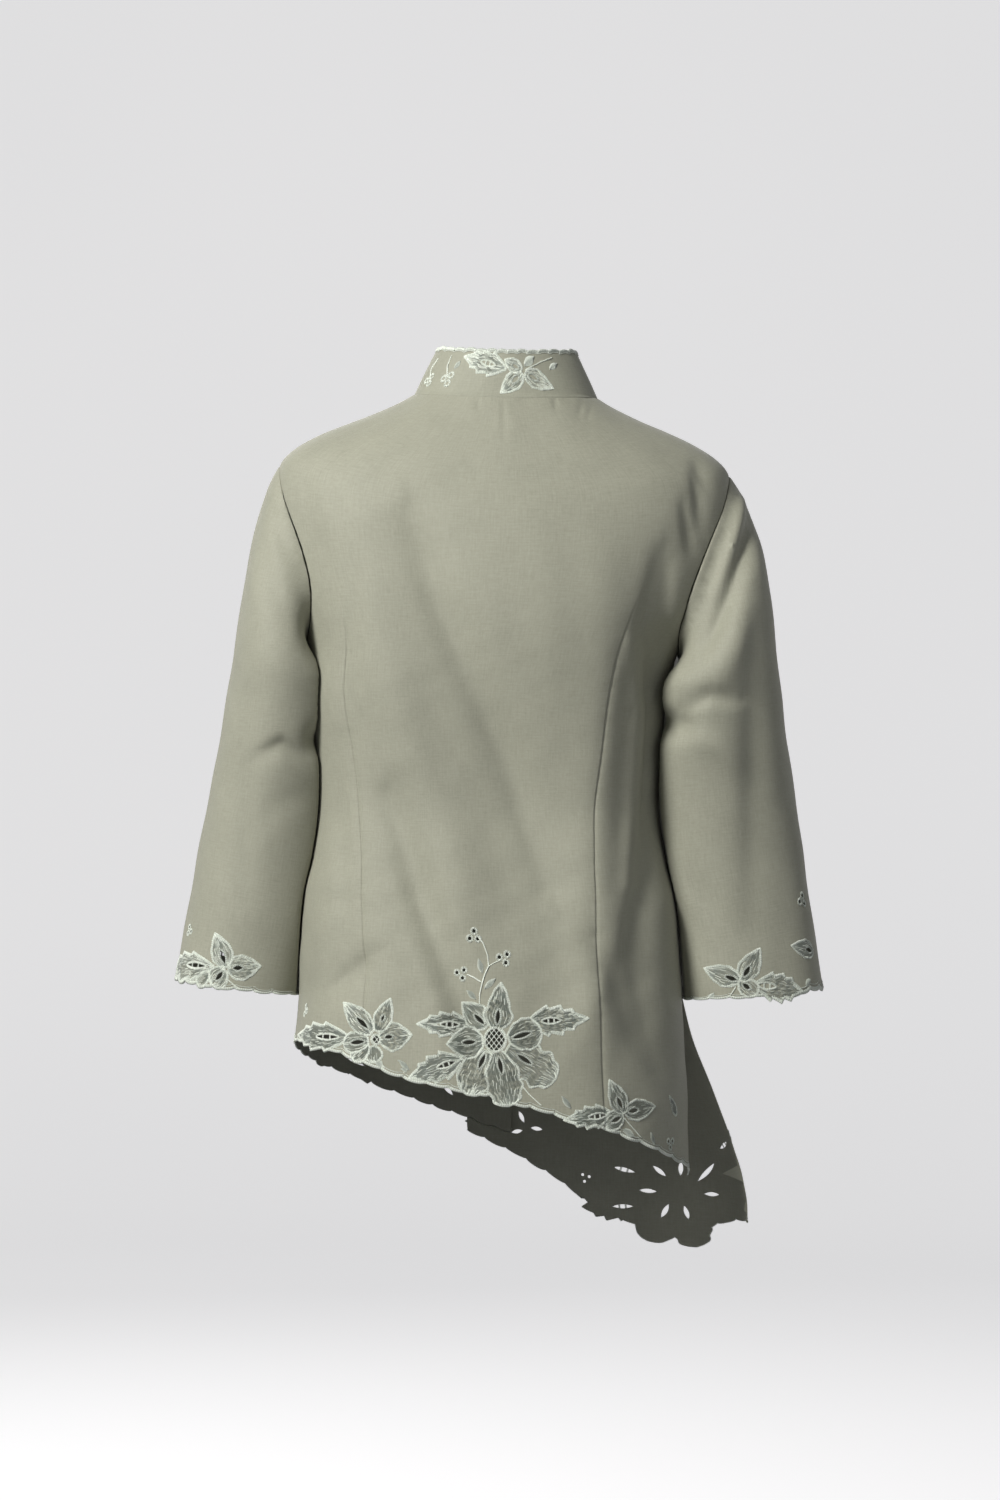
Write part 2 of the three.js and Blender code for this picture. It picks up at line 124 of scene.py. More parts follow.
def addCove():
    # a round floor that curves up into a wall all the way round
    profile = [(r, studio["floorZ"]) for r in (0.001, 1.2, 2.6, 4.0, studio["floorRadius"])]
    for k in range(1, 13):
        turn = k / 12 * math.pi / 2
        radius = studio["floorRadius"] + studio["coveRadius"] * math.sin(turn)
        profile.append((radius, studio["floorZ"] + studio["coveRadius"] * (1 - math.cos(turn))))
    profile.append((profile[-1][0], studio["wallTop"]))
    around = 96
    points = []
    faces = []
    for row, (radius, height) in enumerate(profile):
        for k in range(around):
            turn = 2 * math.pi * k / around
            points.append((radius * math.cos(turn), radius * math.sin(turn), height))
            if row:
                here, beside = row * around + k, row * around + (k + 1) % around
                faces.append((here - around, beside - around, beside, here))
    mesh = bpy.data.meshes.new("floor")
    mesh.from_pydata(points, [], faces)
    mesh.shade_smooth()
    floor = newObject("floor", mesh)
    floor.visible_shadow = False
    floor.visible_diffuse = False
    levels = {"Roughness": 0.9, "Specular IOR Level": 0.1, "Emission Strength": studio["paperGlow"]}
    paper, tree, shader = newMaterial("studioPaper", levels)
    place = addNode(tree, "ShaderNodeTexCoord")
    mottle = addNode(tree, "ShaderNodeTexNoise", {"Scale": 0.35, "Detail": 2})
    shades = {"A": studio["paperDark"], "B": studio["paperLight"]}
    tint = addNode(tree, "ShaderNodeMix", shades, data_type="RGBA")
    wire(
        tree,
        (place, "Object", mottle, "Vector"),
        (mottle, "Fac", tint, "Factor"),
        (tint, "Result", shader, "Base Color"),
        (tint, "Result", shader, "Emission Color"),
    )
    mesh.materials.append(paper)


addCamera()
addCove()
addLight("key", (2.08, 2.26, 1.5), (0.0, 0.0, -0.35), 1.0, 160, (1.0, 0.985, 0.96))
addLight("fill", (-2.6, 2.4, 0.2), (0.0, 0.0, -0.4), 2.2, 8, (0.96, 0.98, 1.0))
addLight("frontFill", (0.8, -3.0, 1.2), (0.0, 0.0, -0.35), 2.2, 34, (1.0, 0.99, 0.97))
world = bpy.data.worlds.new("studio")
world.use_nodes = True
world.node_tree.nodes["Background"].inputs["Color"].default_value = (0.80, 0.805, 0.82, 1)
world.node_tree.nodes["Background"].inputs["Strength"].default_value = 0.19
scene.world = world
scene.view_settings.view_transform = "Standard"
print("studio ready")


# tables of the jacket's form
def table(columns, rows):
    names = columns.split()
    return {name: np.array([row[k] for row in rows], float) for k, name in enumerate(names)}


bodyRings = table("fall shift sideZ frontZ halfWidth backY frontY square", [
    (0, 0, 1, -62, 80, 50, -54, 2.1),
    (14, 0, -8, -73, 96, 57, -62, 2.1),
    (30, 0, -18, -84, 118, 65, -70, 2.1),
    (46, 0, -27, -95, 141, 72, -77, 2.1),
    (62, 0, -37, -105, 164, 79, -83, 2.1),
    (78, 0, -50, -116, 185, 84, -89, 2.15),
    (92, 0, -64, -126, 196, 89, -95, 2.15),
    (112, 0, -96, -140, 199, 94, -102, 2.2),
    (145, 0, -142, -163, 192, 99, -112, 2.2),
    (180, 2, -180, -191, 178, 102, -121, 2.25),
    (220, 7, -220, -223, 162, 101, -127, 2.3),
    (262, 11, -262, -262, 157, 97, -128, 2.3),
    (310, 9, -310, -310, 152, 91, -121, 2.3),
    (358, 7, -358, -358, 149, 88, -112, 2.3),
    (400, 5, -400, -400, 154, 93, -108, 2.3),
    (440, 4, -440, -440, 162, 99, -110, 2.3),
    (520, 2, -520, -520, 167, 110, -117, 2.3),
    (600, 1, -600, -600, 172, 117, -121, 2.3),
    (770, 0, -770, -770, 177, 121, -126, 2.3),
])
body = {
    "sideSeamY": -4.0,
    "seamInset": 0.3,
    "bustFall": 248.0,
    "bustAngle": 146.0,
    "bustHeight": 12.0,
    "bustReachAngle": 22.0,
    "bustReachFall": 62.0,
    "patternFall": 590.0,
}
armhole = {"topFall": 92.0, "bottomFall": 222.0, "backAngle": 30.0, "frontAngle": 35.0}
armholeMiddle = (armhole["topFall"] + armhole["bottomFall"]) / 2
armholeHalf = (armhole["bottomFall"] - armhole["topFall"]) / 2
lap = {"width": 20.0, "lift": 2.8, "ramp": 24.0}
slit = {"topFall": 500.0, "flare": 54.0, "forward": 0.35, "reachAngle": 62.0, "endFall": 717.0}
hems = {
    "back": table("angle fall", [
        (-90, 674), (-60, 652), (-34, 627), (-21, 616), (0, 599), (16, 591), (28, 583), (35, 576),
        (46, 568), (62, 564), (90, 562)]),
    "front_left": table("angle fall", [(90, 566), (130, 596), (165, 632), (195, 662)]),
    "front_right": table("angle fall", [
        (90, 717), (108, 721), (125, 738), (145, 722), (165, 684), (195, 640)]),
}
darts = {
    "right": table("fall angle", [(170, -39), (262, -38), (358, -34.5), (460, -31.5), (620, -33)]),
    "left": table("fall angle", [(170, 46), (262, 48), (358, 45.5), (460, 39.5), (620, 36.5)]),
}
sleeves = {
    "right": {
        "rings": table("z out y halfWidth halfDepth", [
            (-250, 187, 4, 57, 64),
            (-300, 189, -5, 63, 61),
            (-353, 196, -12, 66, 57),
            (-400, 202, -14, 68, 54),
            (-448, 212, -14, 66, 52),
            (-515, 225, -12, 65, 50),
        ]),
        "side": -1,
        "headLift": 0.62,
    },
    "left": {
        "rings": table("z out y halfWidth halfDepth", [
            (-250, 186, -4, 49, 68),
            (-300, 189, -12, 53, 66),
            (-353, 194, -20, 57, 62),
            (-400, 201, -24, 59, 58),
            (-448, 209, -26, 59, 55),
            (-520, 222, -26, 58, 51),
        ]),
        "side": 1,
        "headLift": 0.42,
    },
}
sleeveStand = {
    "clothThickness": 0.45, "seamGap": 0.15,
    "bodyClearance": 2.0, "softness": 1.8,
    "fullness": 0.6,
}
neckEdge = 0.8  # how far below the nape line the panels are cut
collar = {
    "height": 37.0, "sideHeight": 40.5, "frontHeight": 35.0, "backDrop": 3.8,
    "topHalfWidth": 61.0, "topBackY": 42.0, "topFrontY": -45.0,
    "endAngle": 177.0, "roundAngle": 12.0, "lowest": 0.55, "allowance": 3.0,
}


def smooth(value):
    value = np.clip(value, 0, 1)
    return value * value * (3 - 2 * value)


def mix(start, end, share):
    return start + (end - start) * share


def pairs(across, down):
    # flat places from two columns, or from a column and one number
    return np.stack(np.broadcast_arrays(across, down), axis=1)


def quarterTurn(way):
    # directions a quarter turn round from these
    return pairs(-way[:, 1], way[:, 0])


def sineCosine(angle):
    return np.sin(angle * degree), np.cos(angle * degree)


def unit(vectors):
    return vectors / np.maximum(np.linalg.norm(vectors, axis=1), 1e-9)[:, None]


def curveThrough(rows, key, column, at):
    # one column of a table at values of its key, by a smooth curve through the rows
    keys, values, at = rows[key], rows[column], np.asarray(at, float)
    if keys[-1] < keys[0]:
        keys, at = -keys, -at
    count = len(keys)
    low = np.maximum(np.arange(count) - 1, 0)
    high = np.minimum(np.arange(count) + 1, count - 1)
    slope = (values[high] - values[low]) / (keys[high] - keys[low])
    i = np.clip(np.searchsorted(keys, at) - 1, 0, count - 2)
    span = keys[i + 1] - keys[i]
    s = np.clip((at - keys[i]) / span, 0, 1)
    bend = s * (1 - s) * span
    level = mix(values[i], values[i + 1], s * s * (3 - 2 * s))
    return level + bend * ((1 - s) * slope[i] - s * slope[i + 1])


# Large troughs, pressed into the form between two places given by angle and fall (or height).
bodyTroughs = table("angle down toAngle toDown reach depth", [
    (24, 150, -20, 500, 34, 5),
    (-62, 215, -54, 400, 24, 6),
    (46, 490, 80, 530, 24, 4),
    (140, 340, 122, 520, 28, 5),
    (-150, 330, -118, 560, 28, 5),
])
sleeveTroughs = {
    "right": table("angle down toAngle toDown reach depth", [
        (176, -276, 122, -284, 12, 13),
        (66, -110, 118, -225, 16, 6),
    ]),
    "left": table("angle down toAngle toDown reach depth", [
        (174, -312, 130, -302, 12, 13),
        (235, -310, 200, -318, 16, 7),
    ]),
}
def foldRows(faces, rows):
    # faces is 1 on the back and -1 on the front
    names = ("reach", "depth", "lean", "path")
    return [{**dict(zip(names, row)), "faces": faces} for row in rows]


# Finer folds as they lie on one face of the jacket: reach, depth, lean, which makes one flank steeper
# than the other, and the path, by across (to the wearer's left) and height.
bodyFolds = foldRows(1, [
    (18, 7.0, 0.3, [(78, -110), (56, -181), (30, -237), (-12, -325), (-44, -420)]),
    (24, -4.2, 0, [(120, -120), (104, -230), (66, -330), (24, -440)]),
    (24, -3.4, 0, [(-30, -110), (-46, -220), (-66, -330)]),
    (16, 9.5, 0.25, [(92, -350), (66, -430), (38, -500), (14, -560)]),
    (16, -1.6, 0, [(60, -455), (44, -530), (36, -580)]),
    (13, -2.2, 0.2, [(-70, -560), (-100, -470), (-112, -430)]),
    (10, 4.2, 0.4, [(103, -483), (144, -520)]),
    (9, 1.1, -0.4, [(157, -435), (117, -440)]),
    (12, 1.8, 0.3, [(104, -400), (74, -461)]),
    (7, 1.0, 0.2, [(56, -24), (28, -27), (0, -23)]),
    (2.6, 0.7, 0, [(2, -6), (1, -44)]),
    (2.4, 0.7, 0, [(-42, -4), (-43, -14)]),
    (2.6, 0.8, 0, [(-66, -6), (-63, -20)]),
    (2.4, 0.7, 0, [(-74, -8), (-70, -24)]),
    (2.4, 0.5, 0, [(24, -5), (24, -15)]),
    (12, 4.2, 0.4, [(-135, -136), (-124, -190), (-112, -256)]),
    (8, 3.4, -0.3, [(-142, -144), (-142, -196), (-134, -250)]),
    (9, 5.0, 0.5, [(-128, -210), (-131, -280), (-127, -380)]),
    (26, -7.5, 0, [(-84, -150), (-88, -300), (-86, -420), (-92, -520)]),
    (14, 4.6, 0.3, [(-134, -350), (-126, -420), (-117, -466), (-134, -530), (-150, -590)]),
    (7.5, -5.6, 0, [(-112, -215), (-117, -270), (-113, -340), (-112, -420)]),
    (5, 2.4, 0.4, [(-166, -58), (-176, -79)]),
    (6, 3.4, 0.4, [(-163, -62), (-170, -114)]),
    (6, 3.2, 0.4, [(-154, -92), (-161, -135)]),
    (7, 1.2, 0, [(170, -79), (169, -120)]),
    (9, 1.2, 0, [(158, -130), (146, -180)]),
    (14, 3.8, 0.3, [(-86, -467), (-139, -576)]),
    (14, -2.4, 0, [(-60, -440), (-96, -560)]),
    (9, 2.0, 0.3, [(127, -157), (126, -250), (123, -336)]),
    (9, 2.2, 0, [(138, -300), (132, -400), (126, -470)]),
    (18, 1.6, 0, [(30, -470), (16, -585)]),
    (14, 1.2, 0.2, [(-38, -500), (-34, -600)]),
]) + foldRows(-1, [
    (20, 2.0, 0.2, [(88, -118), (62, -200), (48, -300)]),
    (9, 1.6, 0.4, [(112, -300), (84, -330), (40, -352)]),
    (11, 1.8, 0.3, [(120, -330), (98, -372), (52, -398)]),
    (10, 1.7, 0.4, [(-110, -292), (-78, -336), (-30, -362)]),
    (11, 1.6, 0.3, [(-122, -340), (-96, -390), (-60, -420)]),
    (20, 1.8, 0.2, [(-84, -120), (-60, -190), (-30, -250)]),
    (20, 3.0, 0.2, [(-110, -430), (-96, -560), (-112, -690)]),
    (18, 2.4, -0.2, [(-50, -440), (-44, -560), (-62, -680)]),
    (18, 2.4, 0.2, [(60, -430), (74, -520), (70, -620)]),
    (14, 2.0, 0, [(126, -440), (132, -520), (130, -580)]),
    (7, 1.6, 0.3, [(166, -70), (168, -118)]),
    (7, 1.6, 0.3, [(-166, -72), (-168, -122)]),
])
sleeveFolds = {
    "right": foldRows(1, [
        (6.5, 6.2, 0.5, [(-202, -68), (-190, -104), (-171, -152)]),
        (6, -3.0, 0, [(-210, -76), (-200, -118), (-182, -168)]),
        (8.5, 8.0, 0.3, [(-219, -86), (-209, -129), (-196, -166), (-173, -214)]),
        (12, -4.0, 0, [(-212, -180), (-201, -216), (-188, -242)]),
        (14, 3.6, 0.2, [(-217, -170), (-220, -300), (-223, -455)]),
        (10, 2.0, 0.3, [(-168, -413), (-191, -447)]),
        (14, -2.6, 0, [(-236, -120), (-240, -220), (-238, -330)]),
        (8, 4.2, 0.4, [(-160, -268), (-180, -258), (-204, -262)]),
        (11, -2.8, 0, [(-162, -292), (-188, -300), (-214, -322)]),
        (16, 1.4, 0, [(-240, -360), (-250, -440), (-252, -505)]),
    ]) + foldRows(-1, [
        (14, 2.0, 0.2, [(-190, -150), (-206, -240), (-210, -330)]),
        (16, 2.0, 0, [(-236, -130), (-238, -260), (-244, -420)]),
        (9, 2.2, 0.4, [(-170, -300), (-190, -290), (-220, -300)]),
    ]),
    "left": foldRows(1, [
        (7, 3.0, -0.4, [(201, -99), (193, -118), (185, -138)]),
        (11, 3.0, -0.2, [(214, -110), (202, -160), (186, -200)]),
        (11, 2.4, 0, [(220, -266), (218, -350), (216, -439)]),
        (16, -1.2, 0, [(236, -180), (240, -300), (246, -420)]),
        (8, 4.0, 0.4, [(166, -318), (186, -306), (206, -316)]),
        (11, 1.2, 0, [(170, -350), (192, -362), (208, -384)]),
    ]) + foldRows(-1, [
        (13, 2.0, 0.2, [(200, -130), (210, -220), (212, -320)]),
        (16, 1.8, 0, [(238, -150), (240, -280), (246, -420)]),
        (9, 2.0, 0.4, [(172, -300), (192, -292), (222, -304)]),
    ]),
}


def troughDepth(rows, angle, down, millimetresPerDegree):
    depth = np.zeros(len(angle))
    for k in range(len(rows["depth"])):
        across = (rows["toAngle"][k] - rows["angle"][k]) * millimetresPerDegree
        drop = rows["toDown"][k] - rows["down"][k]
        length = math.hypot(across, drop)
        reach = rows["reach"][k]
        turned = (angle - rows["angle"][k] + 540) % 360 - 180
        below = down - rows["down"][k]
        along = (turned * millimetresPerDegree * across + below * drop) / length
        off = (turned * millimetresPerDegree * drop - below * across) / length
        past = np.maximum(0, np.maximum(-along, along - length)) / reach
        middle = 0.6 + 0.4 * np.sin(np.pi * np.clip(along / length, 0, 1))
        depth += rows["depth"][k] * middle * np.exp(-((off / reach) ** 2) - past * past)
    return depth


def foldDepth(folds, points, normals):
    depth = np.zeros(len(points))
    flat = points[:, [0, 2]]
    for fold in folds:
        path = np.array(fold["path"], float)
        legs = np.diff(path, axis=0)
        lengths = np.hypot(legs[:, 0], legs[:, 1])
        before = np.concatenate([[0], np.cumsum(lengths)])
        nearest = np.full(len(flat), 1e9)
        along = np.zeros(len(flat))
        signed = np.zeros(len(flat))
        for k, leg in enumerate(legs):
            away = flat - path[k]
            step = away @ leg / lengths[k]
            kept = np.clip(step, 0, lengths[k])
            gap = away - kept[:, None] * leg / lengths[k]
            distance = np.hypot(gap[:, 0], gap[:, 1])
            closer = distance < nearest
            nearest = np.where(closer, distance, nearest)
            along = np.where(closer, (before[k] + kept) / before[-1], along)
            turn = away[:, 0] * leg[1] - away[:, 1] * leg[0]
            signed = np.where(closer, np.sign(turn), signed)
        reach = fold["reach"] * (1 + 0.75 * fold["lean"] * np.tanh(signed * nearest / 2))
        taper = np.sin(np.pi * (0.12 + 0.76 * along)) ** 0.8
        facing = smooth(normals[:, 1] * fold["faces"] * 2.4 + 0.25)
        depth += fold["depth"] * taper * facing * np.exp(-((nearest / reach) ** 2))
    return depth


# the body's form and its panels' flat coordinates
def bodyRing(fall):
    return {name: curveThrough(bodyRings, "fall", name, fall) for name in bodyRings}


def bodyForm(angle, fall):
    ring = bodyRing(fall)
    sine, cosine = sineCosine(angle)
    square = ring["square"]
    roundness = (np.abs(sine) ** square + np.abs(cosine) ** square) ** (-1 / square)
    side = body["sideSeamY"]
    depth = np.where(cosine >= 0, ring["backY"] - side, side - ring["frontY"])
    endZ = np.where(cosine >= 0, -fall, ring["frontZ"])
    x = ring["shift"] + ring["halfWidth"] * roundness * sine
    y = side + depth * roundness * cosine
    return np.stack([x, y, mix(ring["sideZ"], endZ, cosine * cosine)], axis=1)


def bodyNormal(angle, fall):
    across = bodyForm(angle + 1, fall) - bodyForm(angle - 1, fall)
    down = bodyForm(angle, fall + 3) - bodyForm(angle, np.maximum(0, fall - 3))
    return unit(np.cross(across, down))


def arcsRound(angles, fall):
    # the length round the body at one fall, from the centre back to each angle
    ring = bodyForm(angles, np.full(len(angles), fall))
    arcs = np.concatenate([[0], np.cumsum(np.linalg.norm(np.diff(ring, axis=0), axis=1))])
    return arcs - np.interp(0, angles, arcs)


arcAngles = np.arange(-270.0, 270.5, 0.5)
arcLengths = arcsRound(arcAngles, body["patternFall"])


def angleOf(across):
    return np.interp(across, arcLengths, arcAngles)


def acrossOf(angle):
    return np.interp(angle, arcAngles, arcLengths)


def edgeAngle(fall, notchAngle):
    # how far round a panel reaches at the shoulder seam, the armhole and the side seam
    notch = np.sqrt(np.maximum(0, 1 - ((fall - armholeMiddle) / armholeHalf) ** 2))
    depth = curveThrough(bodyRings, "fall", "backY", fall) - body["sideSeamY"]
    return 90 - notchAngle * notch - body["seamInset"] / (depth * degree)


def bodyBase(angle, fall):
    # the form with its bust and large troughs, and the direction out of it
    normal = bodyNormal(angle, fall)
    fromBust = (np.abs((angle + 180) % 360 - 180) - body["bustAngle"]) / body["bustReachAngle"]
    fromBustFall = (fall - body["bustFall"]) / body["bustReachFall"]
    bust = body["bustHeight"] * np.exp(-(fromBust ** 2) - fromBustFall ** 2)
    trough = troughDepth(bodyTroughs, angle, fall, 2.4)
    return bodyForm(angle, fall) + normal * (bust - trough)[:, None], normal


def drape(across, fall):
    # the cloth's own slight unevenness, deeper towards the hem
    low = 0.35 + 0.65 * smooth((fall - 180) / 400)
    wave = 0.75 * np.sin(across / 17.0 + 0.9 * np.sin(fall / 96) + 0.7)
    wave += 0.5 * np.sin(across / 10.3 - fall / 131 + 2.1)
    wave += 0.28 * np.sin(fall / 13.0 + across / 29 + 1.1 * np.sin(across / 21))
    wave += 0.16 * np.sin(fall / 6.1 - across / 9.5 + 2.3 * np.sin(fall / 37))
    return low * wave


def dartDepth(line, across, fall):
    # a sewn dart: a fine groove, a soft hollow beside it and small puckers along it
    off = across - acrossOf(curveThrough(line, "fall", "angle", fall))
    sewn = smooth((fall - line["fall"][0]) / 60)
    pucker = np.sin(fall / 2.1 + 1.3 * np.sin(fall / 17)) * np.exp(-((off / 6.5) ** 2))
    groove = 0.75 * np.exp(-((off / np.where(off > 0, 0.5, 2.2)) ** 2))
    hollow = 0.5 * np.exp(-((off / 5.5) ** 2))
    return sewn * (groove + hollow + 0.11 * pucker)


frontDarts = {
    "front_left": table("fall angle", [(285, 140), (360, 139), (440, 137), (540, 135)]),
    "front_right": table("fall angle", [(285, -140), (360, -139), (440, -137), (540, -135)]),
}


def bodyPlace(panel, flat, lift=0.0):
    # lays flat places of a body panel, across and fall, on the body
    across, fall = flat[:, 0], flat[:, 1]
    angle = angleOf(across)
    point, normal = bodyBase(angle, fall)
    out = lift - foldDepth(bodyFolds, point, normal) + drape(across, fall)
    if panel == "back":
        out = out - dartDepth(darts["right"], across, fall) - dartDepth(darts["left"], across, fall)
    else:
        out = out - 0.55 * dartDepth(frontDarts[panel], across, fall)
    shiftX = np.zeros(len(across))
    if panel == "front_right":
        turn = np.abs(angle)
        halfWidth = curveThrough(bodyRings, "fall", "halfWidth", fall)
        fromFront = (180 - turn) * degree * halfWidth
        out = out + lap["lift"] * (1 - smooth((fromFront - lap["width"] - 4) / lap["ramp"]))
        drop = smooth((fall - slit["topFall"]) / (slit["endFall"] - slit["topFall"]))
        shiftX = slit["flare"] * drop * (1 - smooth((turn - 90) / slit["reachAngle"]))
    point = point + normal * np.asarray(out)[:, None]
    point[:, 0] -= shiftX
    point[:, 1] -= shiftX * slit["forward"]
    return point, normal


def bodyReach(side, y, z):
    # how far out the body reaches beside a place on the sleeve
    ring = bodyRing(np.maximum(0, -z))
    seam = body["sideSeamY"]
    depth = np.where(y >= seam, ring["backY"] - seam, seam - ring["frontY"])
    share = np.minimum(1, np.abs(y - seam) / depth)
    square = ring["square"]
    return side * ring["shift"] + ring["halfWidth"] * (1 - share ** square) ** (1 / square)


def sleeveRing(sleeve, z, turn):
    rings, side = sleeve["rings"], sleeve["side"]
    below, above = curveThrough(rings, "z", "out", z - 10), curveThrough(rings, "z", "out", z + 10)
    lean = np.arctan2(below - above, 20)
    sine, cosine = sineCosine(turn)
    fullness = np.where((cosine < 0) & (sine < 0), sleeveStand["fullness"], 1.0)
    across = curveThrough(rings, "z", "halfWidth", z) * np.sign(cosine) * np.abs(cosine) ** fullness
    back = curveThrough(rings, "z", "halfDepth", z) * np.sign(sine) * np.abs(sine) ** fullness
    x = side * (curveThrough(rings, "z", "out", z) + across * np.cos(lean))
    y = curveThrough(rings, "z", "y", z) + back
    return np.stack([x, y, z + across * np.sin(lean)], axis=1)


def sleeveHead(sleeve, turn, share):
    # from the armhole (share 0) to the first full ring (share 1)
    side = sleeve["side"]
    sine, cosine = sineCosine(turn)
    notch = np.where(sine >= 0, armhole["backAngle"], armhole["frontAngle"]) * sine
    angle, fall = side * (90 - notch), armholeMiddle - armholeHalf * cosine
    start, normal = bodyBase(angle, fall)
    start = start + normal * (sleeveStand["clothThickness"] + sleeveStand["seamGap"])
    firstZ = np.full(len(turn), sleeve["rings"]["z"][0])
    end = sleeveRing(sleeve, firstZ, turn)
    span = np.linalg.norm(end - start, axis=1)[:, None]
    outward = side * mix(0.8, sleeve["headLift"], 0.5 + 0.5 * cosine)
    leave = np.stack([outward, 0.3 * sine, np.full(len(turn), -0.7)], axis=1)
    arrive = unit(sleeveRing(sleeve, firstZ - 10, turn) - end)
    s = share[:, None]
    point = start * (1 + 2 * s) * (1 - s) ** 2 + end * s * s * (3 - 2 * s)
    return point + leave * span * s * (1 - s) ** 2 - arrive * span * s * s * (1 - s)


def sleeveForm(sleeve, turn, down):
    # down is 0 at the first full ring, positive towards the cuff, negative up the head
    length = np.interp(turn % 360, sleeve["headTurns"], sleeve["headLengths"])
    share = np.clip(1 + down / length, 0, 1)
    head = sleeveHead(sleeve, turn, share)
    arm = sleeveRing(sleeve, sleeve["rings"]["z"][0] - np.maximum(down, 0), turn)
    point = np.where((down < 0)[:, None], head, arm)
    return point, smooth(share * 7)


def measureSleeve(sleeve):
    turns = np.arange(0.0, 361.0, 4.0)
    lengths = np.zeros(len(turns))
    before = sleeveHead(sleeve, turns, np.zeros(len(turns)))
    for k in range(1, 25):
        after = sleeveHead(sleeve, turns, np.full(len(turns), k / 24))
        lengths += np.linalg.norm(after - before, axis=1)
        before = after
    sleeve["headTurns"], sleeve["headLengths"] = turns, lengths
    rings = sleeve["rings"]
    width, depth = (curveThrough(rings, "z", half, -420) for half in ("halfWidth", "halfDepth"))
    sleeve["perDegree"] = float(math.pi * (width + depth) / 360)
    sleeve["reach"] = float(rings["z"][0] - rings["z"][-1])


for sleeve in sleeves.values():
    measureSleeve(sleeve)


def sleevePlace(name, flat, lift=0.0):
    sleeve = sleeves[name]
    side = sleeve["side"]
    turn, down = -side * flat[:, 0] / sleeve["perDegree"], flat[:, 1]
    point, fromSeam = sleeveForm(sleeve, turn, down)
    across = sleeveForm(sleeve, turn + 2, down)[0] - sleeveForm(sleeve, turn - 2, down)[0]
    along = sleeveForm(sleeve, turn, down + 2)[0] - sleeveForm(sleeve, turn, down - 2)[0]
    normal = unit(np.cross(across, along)) * -side
    trough = troughDepth(sleeveTroughs[name], turn % 360, point[:, 2], 0.95)
    depth = (trough + foldDepth(sleeveFolds[name], point, normal)) * fromSeam
    ripple = 0.55 * np.sin(flat[:, 0] / 12.5 + 0.8 * np.sin(down / 60) + side)
    ripple += 0.3 * np.sin(down / 11.0 + flat[:, 0] / 23 + 1.2 * np.sin(flat[:, 0] / 30))
    shaped = point + normal * (ripple * fromSeam - depth)[:, None]
    reach = bodyReach(side, shaped[:, 1], shaped[:, 2])
    past = side * shaped[:, 0] - reach - sleeveStand["bodyClearance"]
    softness = sleeveStand["softness"]
    push = (past + np.sqrt(past * past + softness * softness)) / 2 - past
    shaped[:, 0] += side * push * fromSeam
    return shaped + normal * np.reshape(lift, (-1, 1)), normal


collarAngles = np.arange(-180.0, 180.5, 0.5)
collarArcs = arcsRound(collarAngles, 0.0)


def collarHeight(angle):
    cosine = np.cos(angle * degree)
    ends = np.where(cosine >= 0, collar["height"], collar["frontHeight"])
    return mix(collar["sideHeight"], ends, cosine * cosine)


def neckSeam(angle):
    # how far the neck seam dips at the centre back
    return collar["backDrop"] * np.maximum(0, np.cos(angle * degree)) ** 2


def collarForm(angle, down):
    # down is negative: the height above the neck, counted downwards as on the other panels
    height = -down
    share = np.maximum(0, height) / collarHeight(angle)
    sine, cosine = sineCosine(angle)
    onBody = np.clip(np.minimum(down, neckSeam(angle)), 0, None)
    point = bodyForm(angle, onBody)
    point[:, 2] += onBody
    topY = np.where(cosine >= 0, collar["topBackY"], collar["topFrontY"])
    seam = body["sideSeamY"]
    point[:, 0] = mix(point[:, 0], collar["topHalfWidth"] * sine, share)
    point[:, 1] = mix(point[:, 1], seam + np.abs(topY - seam) * cosine, share)
    point[:, 2] += 0.15 + height
    return point


def collarPlace(_, flat, lift=0.0):
    angle, down = np.interp(flat[:, 0], collarArcs, collarAngles), flat[:, 1]
    across = collarForm(angle + 1, down) - collarForm(angle - 1, down)
    along = collarForm(angle, down + 1) - collarForm(angle, down - 1)
    normal = unit(np.cross(across, along))
    ripple = 0.25 * np.sin(flat[:, 0] / 14 + 1) + 0.2 * np.sin(flat[:, 0] / 6.3 + down / 9)
    out = ripple * smooth(-down / 12) + lift
    return collarForm(angle, down) + normal * np.reshape(out, (-1, 1)), normal


# drawing and meshing flat
def resample(path, step, closed=False):
    path = np.asarray(path, float)
    if closed:
        path = np.vstack([path, path[:1]])
    lengths = np.concatenate([[0], np.cumsum(np.hypot(*np.diff(path, axis=0).T))])
    count = max(3, int(round(lengths[-1] / step)))
    at = np.linspace(0, lengths[-1], count + 1)
    even = pairs(np.interp(at, lengths, path[:, 0]), np.interp(at, lengths, path[:, 1]))
    return even[:-1] if closed else even


def within(points, polygon):
    inside = np.zeros(len(points), bool)
    low, high = polygon.min(axis=0), polygon.max(axis=0)
    near = np.flatnonzero(((points > low) & (points < high)).all(axis=1))
    if not len(near):
        return inside
    x, y = points[near, 0], points[near, 1]
    odd = np.zeros(len(near), bool)
    for (x1, y1), (x2, y2) in zip(polygon, np.roll(polygon, -1, axis=0)):
        if y1 != y2:
            odd ^= ((y1 > y) != (y2 > y)) & (x < (x2 - x1) * (y - y1) / (y2 - y1) + x1)
    inside[near] = odd
    return inside


def directions(even, closed=False):
    # the way along a path at each of its places
    if closed:
        way = np.roll(even, -1, axis=0) - np.roll(even, 1, axis=0)
    else:
        way = np.gradient(even, axis=0)
    return way / np.maximum(np.hypot(way[:, 0], way[:, 1]), 1e-9)[:, None]


